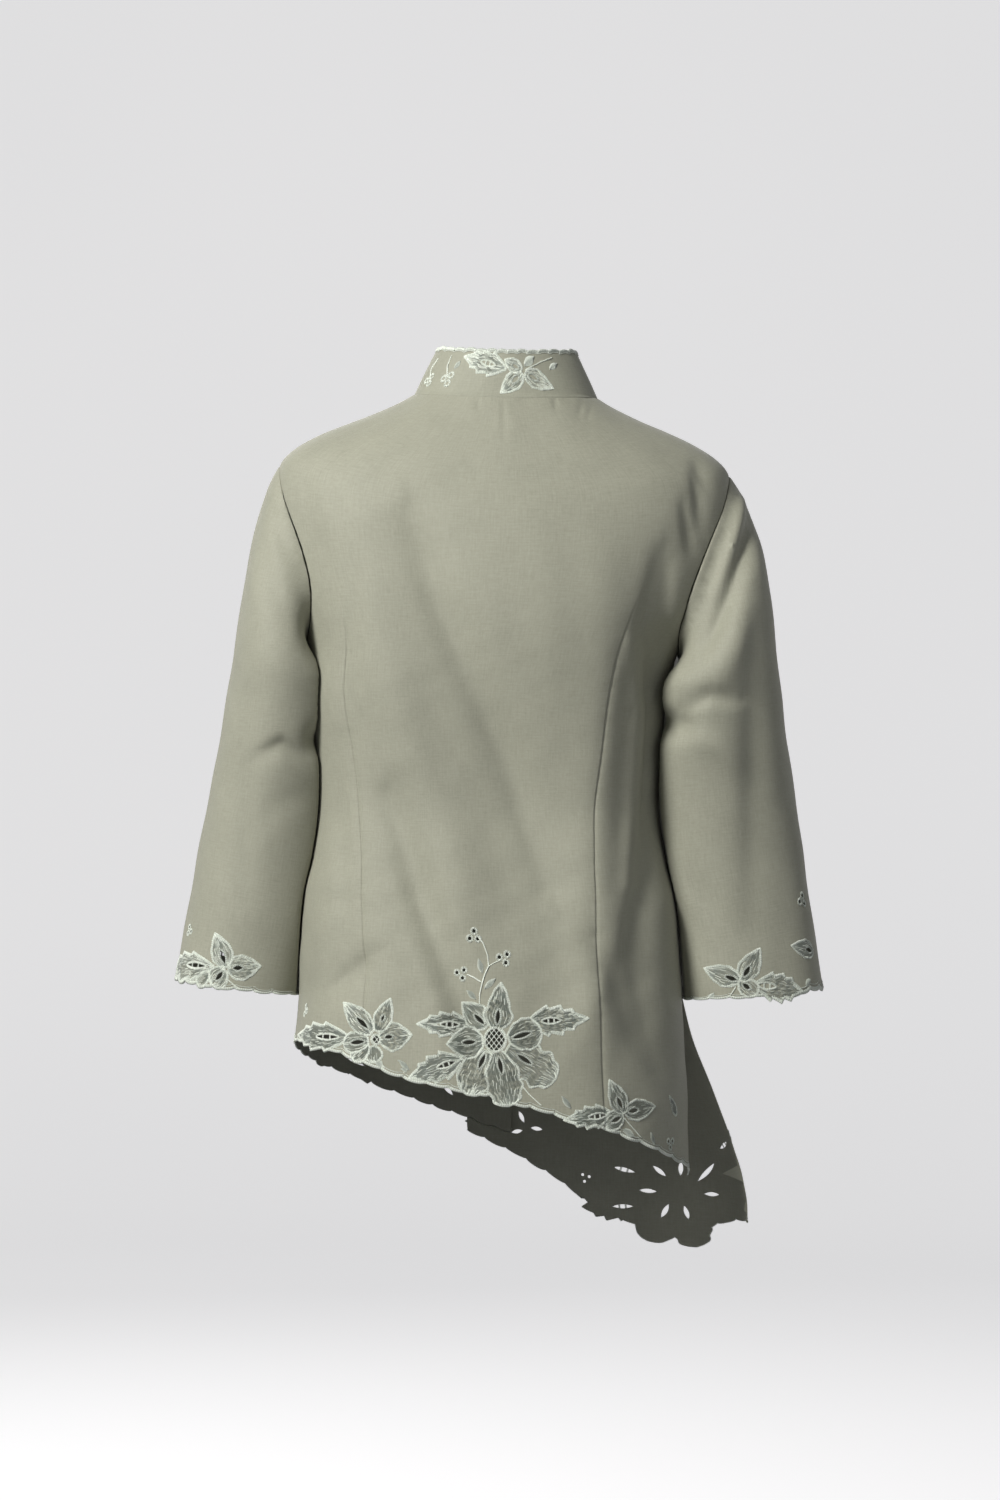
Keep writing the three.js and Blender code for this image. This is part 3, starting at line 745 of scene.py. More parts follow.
def withinAny(points, polygons):
    inside = np.zeros(len(points), bool)
    for polygon in polygons:
        inside |= within(points, polygon)
    return inside


def staggered(low, high, step):
    rowStep = step * math.sqrt(3) / 2
    rows = int((high[1] - low[1]) / rowStep)
    points = []
    for k in range(rows):
        xs = np.arange(low[0] + (k % 2) * step / 2, high[0], step)
        points.append(pairs(xs, low[1] + (k + 0.5) * rowStep))
    return np.vstack(points)


def nearestOf(others, points):
    # which of the others is nearest to each point, and how far it is
    tree = KDTree(len(others))
    for k, other in enumerate(others):
        tree.insert((other[0], other[1], 0), k)
    tree.balance()
    found = [tree.find((point[0], point[1], 0)) for point in points]
    return np.array([f[1] for f in found]), np.array([f[2] for f in found])


def clearOf(points, others, distance):
    # the points that lie more than a distance from every one of the others
    return points[nearestOf(others, points)[1] > distance]


def doubleAreas(flat, triangles):
    one = flat[triangles[:, 1]] - flat[triangles[:, 0]]
    other = flat[triangles[:, 2]] - flat[triangles[:, 0]]
    return np.abs(one[:, 0] * other[:, 1] - one[:, 1] * other[:, 0])


def meshFlat(outlines, holes, lines, coarse, fine, isFine):
    # triangles over every outline less the holes; lines are rows of corners that the mesh keeps
    vertices, edges = [], []
    for path in outlines + holes:
        start = len(vertices)
        vertices.extend(map(tuple, path))
        edges.extend((start + k, start + k + 1) for k in range(len(path) - 1))
        edges.append((start + len(path) - 1, start))
    rows = np.vstack(lines)
    rows = rows[withinAny(rows, outlines)]
    fixed = np.array(vertices)
    fixed = np.vstack([fixed, clearOf(rows, fixed, 0.45)])
    low = np.min([o.min(axis=0) for o in outlines], axis=0)
    high = np.max([o.max(axis=0) for o in outlines], axis=0)
    loose = []
    for step, wanted in ((coarse, False), (fine, True)):
        grid = staggered(low, high, step)
        grid = grid[isFine(grid) == wanted]
        covered = withinAny(grid, outlines) & ~withinAny(grid, holes)
        loose.append(clearOf(grid[covered], fixed, 0.55 * step))
    everything = np.vstack([fixed] + loose)
    found = delaunay_2d_cdt([Vector(p) for p in everything], edges, [], 0, 1e-4, False)
    flat = np.array([tuple(p) for p in found[0]])
    triangles = np.array([f for f in found[2] if len(f) == 3])
    centres = flat[triangles].mean(axis=1)
    triangles = triangles[withinAny(centres, outlines) & ~withinAny(centres, holes)]
    triangles = triangles[doubleAreas(flat, triangles) > 1e-6]
    used = np.unique(triangles)
    renumber = np.zeros(len(flat), int)
    renumber[used] = np.arange(len(used))
    return flat[used], renumber[triangles]


def makeObject(name, points, faces, flat, materials):
    mesh = bpy.data.meshes.new(name)
    mesh.from_pydata((points / 1000).tolist(), [], faces.tolist())
    layer = mesh.uv_layers.new(name="weave")
    corners = np.array([loop.vertex_index for loop in mesh.loops])
    layer.data.foreach_set("uv", (flat[corners] / 1000).astype(np.float32).ravel())
    for material in materials:
        mesh.materials.append(material)
    mesh.shade_smooth()
    return newObject(name, mesh)


def finished(made):
    # the object's modifiers worked into a plain mesh
    held = bpy.context.evaluated_depsgraph_get()
    mesh = bpy.data.meshes.new_from_object(made.evaluated_get(held), depsgraph=held)
    made.modifiers.clear()
    old = made.data
    made.data = mesh
    mesh.name = made.name
    bpy.data.meshes.remove(old)
    return made


creaseAngle = 55  # edges sharper than this stay sharp


def thicken(made, thickness):
    wall = made.modifiers.new("thickness", "SOLIDIFY")
    wall.thickness = thickness / 1000
    wall.offset = -1
    wall.use_even_offset = True
    wall.material_offset = 1
    wall.material_offset_rim = 0
    finished(made)
    made.data.set_sharp_from_angle(angle=creaseAngle * degree)
    return made


# cloth, thread and their shader groups
weaving = {
    "warp": (900, 60, 1), "weft": (70, 1000, 1), "cloud": (26, 20, 1), "grain": (420, 420, 1),
    "slubs": 0.9, "bump": 0.35, "bumpHeight": 0.0002, "sheenRoughness": 0.45, "specular": 0.32,
}


def newGroup(name, kind, inputs, outputs):
    tree = bpy.data.node_groups.new(name, kind)
    for label, kind, value in inputs:
        socket = tree.interface.new_socket(name=label, in_out="INPUT", socket_type=kind)
        if value is not None:
            socket.default_value = value
    for label, kind in outputs:
        tree.interface.new_socket(name=label, in_out="OUTPUT", socket_type=kind)
    return tree, tree.nodes.new("NodeGroupInput"), tree.nodes.new("NodeGroupOutput")


def stretchedNoise(tree, vector, stretch, detail=2.0, rough=0.55):
    mapping = addNode(tree, "ShaderNodeMapping", {"Scale": stretch})
    noise = addNode(tree, "ShaderNodeTexNoise", {"Scale": 1.0, "Detail": detail, "Roughness": rough})
    tree.links.new(vector, mapping.inputs["Vector"])
    wire(tree, (mapping, "Vector", noise, "Vector"))
    return noise.outputs["Fac"]


def centred(tree, value, size, level):
    # level, raised or lowered as the value goes above or below a half
    return mathNode(tree, "MULTIPLY_ADD", mathNode(tree, "SUBTRACT", value, 0.5), size, level)


def mathNode(tree, operation, first, second=None, third=None):
    node = addNode(tree, "ShaderNodeMath", operation=operation)
    for k, value in enumerate((first, second, third)):
        if value is None:
            continue
        if isinstance(value, (int, float)):
            node.inputs[k].default_value = value
        else:
            tree.links.new(value, node.inputs[k])
    return node.outputs[0]


def blendColour(tree, factor, first, second, mode="MIX"):
    node = addNode(tree, "ShaderNodeMix", data_type="RGBA", blend_type=mode)
    for name, value in (("Factor", factor), ("A", first), ("B", second)):
        if isinstance(value, (int, float, tuple)):
            node.inputs[name].default_value = value
        else:
            tree.links.new(value, node.inputs[name])
    return node.outputs["Result"]


def buildWeaveGroup():
    # plain-woven cotton: crossed yarns, slubs along both ways and slow changes of shade
    tree, given, result = newGroup(
        "plainWeave",
        "ShaderNodeTree",
        [
            ("Cloth place", "NodeSocketVector", None),
            ("Cloth colour", "NodeSocketColor", (0.3, 0.3, 0.24, 1)),
            ("Slub colour", "NodeSocketColor", (0.36, 0.36, 0.29, 1)),
            ("Slub amount", "NodeSocketFloat", 0.5),
            ("Yarns per metre", "NodeSocketFloat", 2400.0),
            ("Roughness middle", "NodeSocketFloat", 0.62),
        ],
        [("Colour", "NodeSocketColor"), ("Roughness", "NodeSocketFloat"), ("Height", "NodeSocketFloat")],
    )
    place = given.outputs["Cloth place"]
    apart = addNode(tree, "ShaderNodeSeparateXYZ")
    tree.links.new(place, apart.inputs[0])
    waves = []
    for axis in ("X", "Y"):
        turned = mathNode(tree, "MULTIPLY", apart.outputs[axis], given.outputs["Yarns per metre"])
        angle = mathNode(tree, "MULTIPLY", turned, 2 * math.pi)
        waves.append(mathNode(tree, "SINE", angle))
    crossed = mathNode(tree, "MULTIPLY", waves[0], waves[1])
    warp = stretchedNoise(tree, place, weaving["warp"])
    weft = stretchedNoise(tree, place, weaving["weft"])
    half = [mathNode(tree, "MULTIPLY", yarn, 0.5) for yarn in (warp, weft)]
    slubs = mathNode(tree, "ADD", *half)
    cloud = stretchedNoise(tree, place, weaving["cloud"], detail=4.0)
    grainy = stretchedNoise(tree, place, weaving["grain"], detail=3.0, rough=0.7)
    fine = centred(tree, slubs, 2.6, 0.5)
    fine = centred(tree, grainy, 1.2, fine)
    fine = centred(tree, cloud, 0.7, fine)
    fine = mathNode(tree, "MULTIPLY_ADD", crossed, 0.05, fine)
    share = addNode(tree, "ShaderNodeClamp")
    tree.links.new(mathNode(tree, "MULTIPLY", fine, given.outputs["Slub amount"]), share.inputs["Value"])
    shades = [given.outputs[name] for name in ("Cloth colour", "Slub colour")]
    colour = blendColour(tree, share.outputs[0], *shades)
    tree.links.new(colour, result.inputs["Colour"])
    uneven = centred(tree, slubs, 0.3, given.outputs["Roughness middle"])
    tree.links.new(uneven, result.inputs["Roughness"])
    height = mathNode(tree, "MULTIPLY_ADD", slubs, 1.4, mathNode(tree, "MULTIPLY", crossed, 0.35))
    tree.links.new(height, result.inputs["Height"])
    return tree


weaveGroup = buildWeaveGroup()


def clothMaterial(name, dark, light, roughness, sheen):
    levels = {
        "Sheen Weight": sheen,
        "Sheen Roughness": weaving["sheenRoughness"],
        "Specular IOR Level": weaving["specular"],
    }
    material, tree, shader = newMaterial(name, levels)
    place = addNode(tree, "ShaderNodeUVMap", uv_map="weave")
    weave = addNode(tree, "ShaderNodeGroup", node_tree=weaveGroup)
    setLevels(weave, {
        "Cloth colour": (*dark, 1),
        "Slub colour": (*light, 1),
        "Slub amount": weaving["slubs"],
        "Roughness middle": roughness,
    })
    depth = {"Strength": weaving["bump"], "Distance": weaving["bumpHeight"]}
    raised = addNode(tree, "ShaderNodeBump", depth)
    wire(
        tree,
        (place, "UV", weave, "Cloth place"),
        (weave, "Colour", shader, "Base Color"),
        (weave, "Roughness", shader, "Roughness"),
        (weave, "Height", raised, "Height"),
        (raised, "Normal", shader, "Normal"),
    )
    return material


cloths = {
    "sageCotton": {
        "dark": (0.272, 0.274, 0.213), "light": (0.345, 0.345, 0.272), "roughness": 0.6, "sheen": 0.12},
    "sageCottonInside": {
        "dark": (0.225, 0.228, 0.18), "light": (0.285, 0.286, 0.228), "roughness": 0.72, "sheen": 0.05},
    "sageCollarCotton": {
        "dark": (0.268, 0.272, 0.212), "light": (0.338, 0.34, 0.268), "roughness": 0.62, "sheen": 0.1},
}
cotton = {name: clothMaterial(name, **look) for name, look in cloths.items()}
print("cloth ready")


# the panels, cut flat
def scallops(along, width, depth, offset=0.0):
    # rounded lobes with a small point between each two, a little uneven
    moved = along + 3.0 * np.sin(along / 37.0 + offset) + 1.4 * np.sin(along / 16.3)
    count = moved / width + offset
    size = 0.82 + 0.18 * np.sin(np.floor(count) * 2.4)
    return depth * size * np.sqrt(np.maximum(0, 1 - (2 * (count % 1) - 1) ** 2))


drawStep = {"seam": 2.5, "cap": 2.2, "hem": 0.9, "collar": 0.8, "beside": 2.0, "pucker": 0.7}


def edgeFalls(hemFall):
    # the falls down a side edge: shoulder seam, armhole and side seam
    step = drawStep["seam"]
    shoulder = np.arange(neckEdge, armhole["topFall"], step)
    notch = armholeMiddle - armholeHalf * np.cos(np.linspace(0, math.pi, 70))
    side = np.arange(armhole["bottomFall"] + step, hemFall, step)
    return np.concatenate([shoulder, notch, side])


def hemFall(panel, angle):
    turn = angle if panel == "back" else np.abs(angle)
    return curveThrough(hems[panel], "angle", "fall", turn)


hemLobes = {
    "width": 19.0, "depth": 3.0, "share": 0.6,
    "cuffWidth": 17.0, "cuffOffset": 0.3,
    "collarWidth": 13.0, "collarDepth": 2.1,
}


def hemLine(panel, fromAcross, toAcross):
    across = np.arange(fromAcross, toAcross, drawStep["hem"])
    level = hemFall(panel, angleOf(across)) - hemLobes["depth"] * hemLobes["share"]
    return pairs(across, level + scallops(across, hemLobes["width"], hemLobes["depth"]))


def backEdges():
    rightFalls, leftFalls = edgeFalls(674.0), edgeFalls(566.0)
    right = pairs(-acrossOf(edgeAngle(rightFalls, armhole["backAngle"])), rightFalls)
    left = pairs(acrossOf(edgeAngle(leftFalls, armhole["backAngle"])), leftFalls)
    hem = hemLine("back", right[-1][0] + 0.5, left[-1][0] - 0.5)
    neckAcross = np.arange(right[0][0] + 2, left[0][0], drawStep["seam"])
    neck = pairs(neckAcross, neckEdge + neckSeam(angleOf(neckAcross)))
    outline = np.vstack([neck, left[:-1], hem[::-1], right[:-1][::-1]])
    seams = [neck, left, right[right[:, 1] < slit["topFall"]]]
    return outline, seams, hem


def frontEdges(side):
    panel = "front_left" if side > 0 else "front_right"
    sideHem = float(hemFall(panel, 90.0))
    falls = edgeFalls(sideHem)
    seam = pairs(side * acrossOf(180 - edgeAngle(falls, armhole["frontAngle"])), falls)
    edgeHem = float(hemFall(panel, 187.0))
    lapFalls = np.arange(neckEdge, edgeHem, drawStep["seam"])
    lapAngle = 180 + lap["width"] / degree / curveThrough(bodyRings, "fall", "halfWidth", lapFalls)
    front = pairs(side * acrossOf(lapAngle), lapFalls)
    ends = sorted((seam[-1][0], front[-1][0]))
    hem = hemLine(panel, ends[0] + 0.5, ends[1] - 0.5)
    if side < 0:
        hem = hem[::-1]
    neckEnds = sorted((seam[0][0], front[0][0]))
    neckAcross = np.arange(neckEnds[0] + 2, neckEnds[1] - 1, drawStep["seam"])
    if side < 0:
        neckAcross = neckAcross[::-1]
    neck = pairs(neckAcross, neckEdge)
    outline = np.vstack([neck, front[:-1], hem[::-1], seam[:-1][::-1]])
    seamEnd = slit["topFall"] if side < 0 else math.inf
    return outline, [neck, seam[seam[:, 1] < seamEnd]], hem


def sleeveEdges(name):
    sleeve = sleeves[name]
    half = 180 * sleeve["perDegree"] - 0.25
    across = np.arange(-half, half, drawStep["cap"])
    turns = (-sleeve["side"] * across / sleeve["perDegree"]) % 360
    cap = pairs(across, -0.997 * np.interp(turns, sleeve["headTurns"], sleeve["headLengths"]))
    cuffAcross = np.arange(-half, half, drawStep["hem"])
    lobes = scallops(cuffAcross, hemLobes["cuffWidth"], hemLobes["depth"], hemLobes["cuffOffset"])
    cuff = pairs(cuffAcross, sleeve["reach"] - hemLobes["depth"] * hemLobes["share"] + lobes)
    downs = np.arange(cap[-1][1] + drawStep["seam"], cuff[-1][1] - 1, drawStep["seam"])
    first = pairs(half, downs)
    second = pairs(-half, downs[::-1])
    outline = np.vstack([cap, first, cuff[::-1], second])
    return outline, [cap, first, second], cuff


def collarEdges():
    ends = np.interp([-collar["endAngle"], collar["endAngle"]], collarAngles, collarArcs)
    across = np.arange(ends[0], ends[1], drawStep["collar"])
    angle = np.interp(across, collarArcs, collarAngles)
    fromEnd = np.clip((collar["endAngle"] - np.abs(angle)) / collar["roundAngle"], 0, 1)
    corner = mix(collar["lowest"], 1, np.sqrt(1 - (1 - fromEnd) ** 2))
    lobes = scallops(across, hemLobes["collarWidth"], hemLobes["collarDepth"])
    top = pairs(across, -collarHeight(angle) * corner + hemLobes["collarDepth"] * 0.5 - lobes)
    seam = pairs(across, neckSeam(angle))
    below = seam + (0, collar["allowance"])
    outline = np.vstack([top, below[::-1]])
    return outline, [seam], top


seamShape = {
    "roll": 0.4, "pucker": 0.12, "puckerReach": 4.5,
    "allowance": 2.6, "lean": 0.16, "sleeveLean": 0.95,
}


def besideLines(paths, offsets):
    rows = []
    for path in paths:
        even = resample(path, drawStep["beside"])
        across = -quarterTurn(directions(even))
        for offset in offsets:
            rows.extend([even + across * offset, even - across * offset])
    return rows


def seamDip(flat, paths):
    # each seam edge rolls in towards the wearer, with slight puckers along the stitching
    step = drawStep["pucker"]
    index, distance = nearestOf(np.vstack([resample(path, step) for path in paths]), flat)
    along = index * step
    roll = seamShape["roll"]
    inner = np.clip(roll - distance, 0, roll)
    dip = roll - np.sqrt(np.maximum(0, roll * roll - inner * inner))
    waves = np.sin(along / 1.15 + 1.7 * np.sin(along / 13)) + 0.6 * np.sin(along / 3.1)
    fade = np.exp(-((distance / seamShape["puckerReach"]) ** 2))
    return dip - seamShape["pucker"] * waves * fade * smooth(distance / 1.5)


def addAllowance(flat, triangles, points, normals, paths, leanBy):
    # a narrow strip turned in along each seam, leaning towards the panel it is sewn to
    sides = np.vstack([triangles[:, [0, 1]], triangles[:, [1, 2]], triangles[:, [2, 0]]])
    ordered = np.sort(sides, axis=1)
    _, first, count = np.unique(ordered, axis=0, return_index=True, return_counts=True)
    rim = sides[first[count == 1]]
    rimCorners = np.unique(rim)
    onSeam = set(rimCorners[nearestOf(np.vstack(paths), flat[rimCorners])[1] < 0.02])
    strip = [(a, b) for a, b in rim if a in onSeam and b in onSeam]
    turned = {}
    for a, b in strip:
        outward = np.cross(points[b] - points[a], normals[a] + normals[b])
        outward /= max(np.linalg.norm(outward), 1e-9)
        for k in (a, b):
            turned.setdefault(k, []).append(outward)
    keys = sorted(turned)
    order = {k: len(flat) + n for n, k in enumerate(keys)}
    lean = unit(np.array([np.mean(turned[k], axis=0) for k in keys])) * leanBy
    added = points[keys] - normals[keys] * seamShape["allowance"] + lean
    faces = [(b, a, order[a]) for a, b in strip] + [(b, order[a], order[b]) for a, b in strip]
    flat = np.vstack([flat, flat[keys]])
    return flat, np.vstack([triangles, np.array(faces)]), np.vstack([points, added])


def dartLines(line, first, last):
    falls = np.arange(first, last, 2.0)
    middle = acrossOf(curveThrough(line, "fall", "angle", falls))
    return [pairs(middle + off, falls) for off in (-3.6, -2.0, -1.0, -0.4, 0.0, 0.4, 1.0, 2.0, 3.6)]


bodyCloth = {"place": bodyPlace, "thickness": 0.6, "ropeIn": 3.4}
frontCloth = {**bodyCloth, "coarse": 5.2, "fine": 3.4}
sleeveCloth = {
    "place": sleevePlace, "thickness": 0.6, "ropeIn": 3.4, "coarse": 4.0, "fine": 3.0, "darts": []}
panels = {
    "back": {
        **bodyCloth, "edges": backEdges, "coarse": 4.2, "fine": 3.0,
        "darts": [(darts["right"], 172, 617), (darts["left"], 172, 566)],
    },
    "front_left": {
        **frontCloth, "edges": lambda: frontEdges(1),
        "darts": [(frontDarts["front_left"], 287, 560)],
    },
    "front_right": {
        **frontCloth, "edges": lambda: frontEdges(-1),
        "darts": [(frontDarts["front_right"], 287, 560)],
    },
    "sleeve_left": {**sleeveCloth, "edges": lambda: sleeveEdges("left")},
    "sleeve_right": {**sleeveCloth, "edges": lambda: sleeveEdges("right")},
    "collar": {
        "edges": collarEdges, "place": collarPlace, "thickness": 1.4, "ropeIn": 2.6,
        "coarse": 2.4, "fine": 2.4, "darts": [],
    },
}


# embroidery: every part of a motif starts and ends somewhere, has a width, and may have an eyelet
# over a share of its length. Its outline and its stitches are drawn by rule from those.
stitch = {
    "length": 5.2, "pitch": 0.92, "radius": 0.36, "edgePitch": 0.7, "edgeWidth": 1.75,
    "eyeHalf": 2.1, "eyeRim": 1.35, "meshStep": 4.3, "lift": 0.3, "sides": 3,
    "fineRadius": 0.34, "barRadius": 0.3, "stemRadius": 0.52,
    "hemPitch": 0.6, "eyePitch": 0.6, "ringPitch": 0.58, "latticeRim": 1.7, "sprigRim": 0.11,
    "ropePitch": 2.3, "ropeHalf": 1.25, "stemPitch": 1.75, "stemHalf": 1.15,
}
# how pale each kind of stitch is, from 0 to 1
tones = {
    "edge": 0.93, "eye": 0.72, "leafEye": 0.9, "bar": 0.85, "ring": 0.88, "crossed": 0.9,
    "small": 0.72, "stem": 1.0, "rope": 0.8, "hem": 0.84,
}
# what of a motif may pass the hem, and how much of a part may be lost
beyondHem = {"rise": 9, "fromEnds": 4, "lostShare": 0.4, "collarMiddle": 84}
profiles = {
    "spade": table("along width", [
        (0, 0.35), (0.12, 0.82), (0.28, 1), (0.45, 0.8), (0.62, 0.64), (0.8, 0.44), (0.93, 0.17),
        (1, 0)]),
    "point": table("along width", [
        (0, 0.3), (0.15, 0.76), (0.38, 1), (0.6, 0.84), (0.8, 0.5), (0.92, 0.22), (1, 0)]),
    "round": table("along width", [
        (0, 0.3), (0.2, 0.76), (0.5, 1), (0.74, 0.94), (0.9, 0.64), (0.97, 0.34), (1, 0)]),
    "lobed": table("along width", [
        (0, 0.26), (0.2, 0.66), (0.42, 0.96), (0.55, 0.84), (0.68, 1), (0.8, 0.76), (0.9, 0.7),
        (0.97, 0.36), (1, 0)]),
    "leaf": table("along width", [
        (0, 0.12), (0.14, 0.55), (0.34, 1), (0.37, 0.76), (0.57, 0.95), (0.6, 0.62), (0.75, 0.68),
        (0.78, 0.42), (0.9, 0.22), (1, 0)]),
    "small": table("along width", [(0, 0.15), (0.3, 0.85), (0.5, 1), (0.75, 0.7), (1, 0)]),
}
# kind, where it starts and ends (to the wearer's left and up from the nape), width, eyelet from and to
motifs = {
    "backFlower": {"panel": "back", "pale": 0.0, "parts": [
        ("lattice", -3, -542, -3, -561, 17, 0, 0),
        ("spade", -4, -542, -7, -503, 26, 0.08, 0.42),
        ("round", -14, -551, -42, -542, 27, 0.1, 0.7),
        ("point", 7, -553, 38, -556, 28, 0.19, 0.6),
        ("lobed", -5, -561, -16, -607, 32, 0.1, 0.42),
        ("round", 4, -561, 20, -598, 30, 0.06, 0.42),
        ("lobed", -13, -558, -55, -584, 35, 0.2, 0.52),
        ("point", 4, -541, 26, -521, 22, 0.1, 0.52),
        ("leaf", 17, -540, 64, -540, 23, 0.22, 0.56),
        ("leaf", -30, -536, -82, -532, 27, 0.23, 0.55),
        ("leaf", 24, -568, 70, -586, 26, 0.12, 0.46),
        ("small", 69, -579, 78, -571, 4.5, 0, 0),
        ("small", 9, -496, 13, -484, 5, 0, 0),
        ("small", 7, -509, -2, -500, 5, 0, 0),
        ("small", 14, -518, 22, -511, 5, 0, 0),
        ("sprig", 17, -465, 17, -460, 14, 0, 0),
        ("sprig", -9, -483, -12, -479, 14, 0, 0),
        ("sprig", 27, -497, 24, -493, 13, 0, 0),
    ], "stems": [
        [(11, -528), (11, -514), (9, -504), (7, -497), (4, -490), (5, -481), (9, -471), (13, -466)],
        [(4, -490), (-1, -487), (-5, -485)],
        [(11, -503), (16, -500), (21, -498)],
        [(-25, -588), (-33, -597), (-42, -605)],
    ]},
    "backLeft": {"panel": "back", "pale": 0.06, "parts": [
        ("lattice", 98, -551, 98, -558, 7, 0, 0),
        ("point", 101, -549, 127, -525, 20, 0.12, 0.52),
        ("point", 97, -548, 86, -519, 17, 0.3, 0.5),
        ("point", 95, -553, 67, -549, 25, 0.15, 0.42),
        ("round", 104, -556, 126, -560, 18, 0.15, 0.72),
        ("round", 104, -559, 118, -573, 16, 0, 0),
        ("round", 101, -560, 98, -574, 16, 0, 0),
        ("leaf", 120, -554, 168, -558, 26, 0.14, 0.48),
        ("small", 97, -570, 92, -579, 6, 0, 0),
        ("small", 71, -581, 79, -571, 5, 0, 0),
        ("sprig", 161, -536, 161, -531, 12, 0, 0),
    ], "stems": [[(100, -563), (96, -570), (91, -577)]]},
    "backRight": {"panel": "back", "pale": 0.1, "parts": [
        ("point", -114, -613, -100, -584, 18, 0.14, 0.5),
        ("round", -113, -615, -97, -622, 17, 0.12, 0.7),
        ("point", -114, -612, -141, -608, 18, 0.1, 0.44),
        ("leaf", -104, -613, -62, -618, 21, 0.15, 0.52),
        ("small", -68, -608, -60, -598, 4.5, 0, 0),
        ("small", -113, -626, -123, -633, 6, 0, 0),
        ("small", -141, -641, -137, -630, 4.5, 0, 0),
        ("sprig", -155, -641, -151, -637, 12, 0, 0),
        ("point", -160, -618, -153, -600, 9, 0, 0),
    ], "stems": [[(-113, -616), (-120, -624), (-128, -633)]]},
    "leftCuff": {"panel": "sleeve_left", "pale": 0.3, "parts": [
        ("point", 231, -501, 242, -471, 20, 0.1, 0.52),
        ("point", 230, -502, 201, -499, 22, 0.15, 0.46),
        ("round", 232, -503, 244, -517, 19, 0.15, 0.72),
        ("leaf", 242, -501, 280, -505, 24, 0.1, 0.44),
        ("round", 246, -507, 258, -515, 13, 0, 0),
        ("small", 231, -520, 216, -526, 6, 0, 0),
        ("small", 205, -526, 211, -514, 5, 0, 0),
        ("sprig", 266, -471, 266, -466, 11, 0, 0),
    ], "stems": [[(229, -512), (220, -519), (206, -528)]]},
    "rightCuff": {"panel": "sleeve_right", "pale": 0.16, "parts": [
        ("point", -213, -502, -182, -492, 18, 0.06, 0.4),
        ("point", -214, -502, -230, -473, 18, 0.12, 0.46),
        ("round", -213, -502, -228, -514, 16, 0.15, 0.62),
        ("leaf", -225, -505, -269, -511, 23, 0.06, 0.42),
        ("point", -278, -477, -257, -471, 16, 0.1, 0.44),
        ("small", -196, -524, -210, -523, 6, 0, 0),
        ("small", -187, -519, -191, -513, 5, 0, 0),
        ("small", -271, -506, -275, -500, 4.5, 0, 0),
        ("sprig", -267, -432, -267, -427, 13, 0, 0),
    ], "stems": [[(-209, -508), (-205, -515), (-192, -522)]]},
    "collarBack": {"panel": "collar", "pale": 0.3, "parts": [
        ("point", -13, 20, 2, 29, 13, 0.15, 0.55),
        ("point", -13, 18, 5, -1, 16, 0.15, 0.5),
        ("point", -16, 18, -41, 5, 18, 0.12, 0.46),
        ("small", -15, 24, -23, 33, 8, 0, 0),
        ("leaf", 0, 21, 37, 32, 23, 0.24, 0.56),
        ("small", 45, 21, 40, 28, 5, 0, 0),
        ("small", -37, 22, -43, 28, 5, 0, 0),
        ("sprig", 51, 12, 51, 8, 14, 0, 0),
        ("sprig", 67, 12, 67, 8, 12, 0, 0),
    ], "stems": [
        [(48, 32), (51, 24), (51, 15)],
        [(-17, 21), (-29, 28), (-38, 32)],
        [(60, 30), (65, 23), (66, 15)],
    ]},
}
# the same motifs again where they can't be seen from behind: panel, motif, where its middle goes
# (across, and above the hem), and whether it is turned over
repeats = [
    ("front_left", "backLeft", 300.0, 20.0, 1),
    ("front_left", "backRight", 415.0, 22.0, 1),
    ("front_right", "backFlower", -322.0, 56.0, -1),
    ("front_right", "backRight", -428.0, 24.0, -1),
    ("sleeve_left", "leftCuff", 95.0, 22.0, -1),
    ("sleeve_right", "rightCuff", -95.0, 22.0, -1),
    ("collar", "collarBack", 118.0, 20.0, -1),
    ("collar", "collarBack", -118.0, 20.0, 1),
]


def placeKey(name):
    # the sleeves' tables go by side, the other panels' by the panel's name
    return name.removeprefix("sleeve_")


def flatAt(name, wanted):
    # the flat places of points seen square on from behind, by x and height
    wanted = np.asarray(wanted, float)
    panel = panels[name]
    low, high = panel["outline"].min(axis=0) - 4, panel["outline"].max(axis=0) + 4
    across, down = np.meshgrid(*(np.arange(low[k], high[k], 5.0) for k in (0, 1)))
    grid = pairs(across.ravel(), down.ravel())
    points, normals = panel["place"](placeKey(name), grid)
    facing = normals[:, 1] > 0.06
    grid, points = grid[facing], points[facing]

    def seen(flat):
        return panel["place"](placeKey(name), flat)[0][:, [0, 2]]

    away = ((points[None, :, [0, 2]] - wanted[:, None, :]) ** 2).sum(axis=2)
    flat = grid[away.argmin(axis=1)]
    for _ in range(5):
        here = seen(flat)
        right = seen(flat + (1, 0)) - here
        lower = seen(flat + (0, 1)) - here
        gap = wanted - here
        size = right[:, 0] * lower[:, 1] - right[:, 1] * lower[:, 0]
        size = np.where(np.abs(size) < 0.12, 0.12 * np.sign(size + 1e-9), size)
        moveAcross = (gap[:, 0] * lower[:, 1] - gap[:, 1] * lower[:, 0]) / size
        moveDown = (gap[:, 1] * right[:, 0] - gap[:, 0] * right[:, 1]) / size
        flat = flat + np.clip(pairs(moveAcross, moveDown), -4, 4)
    return flat


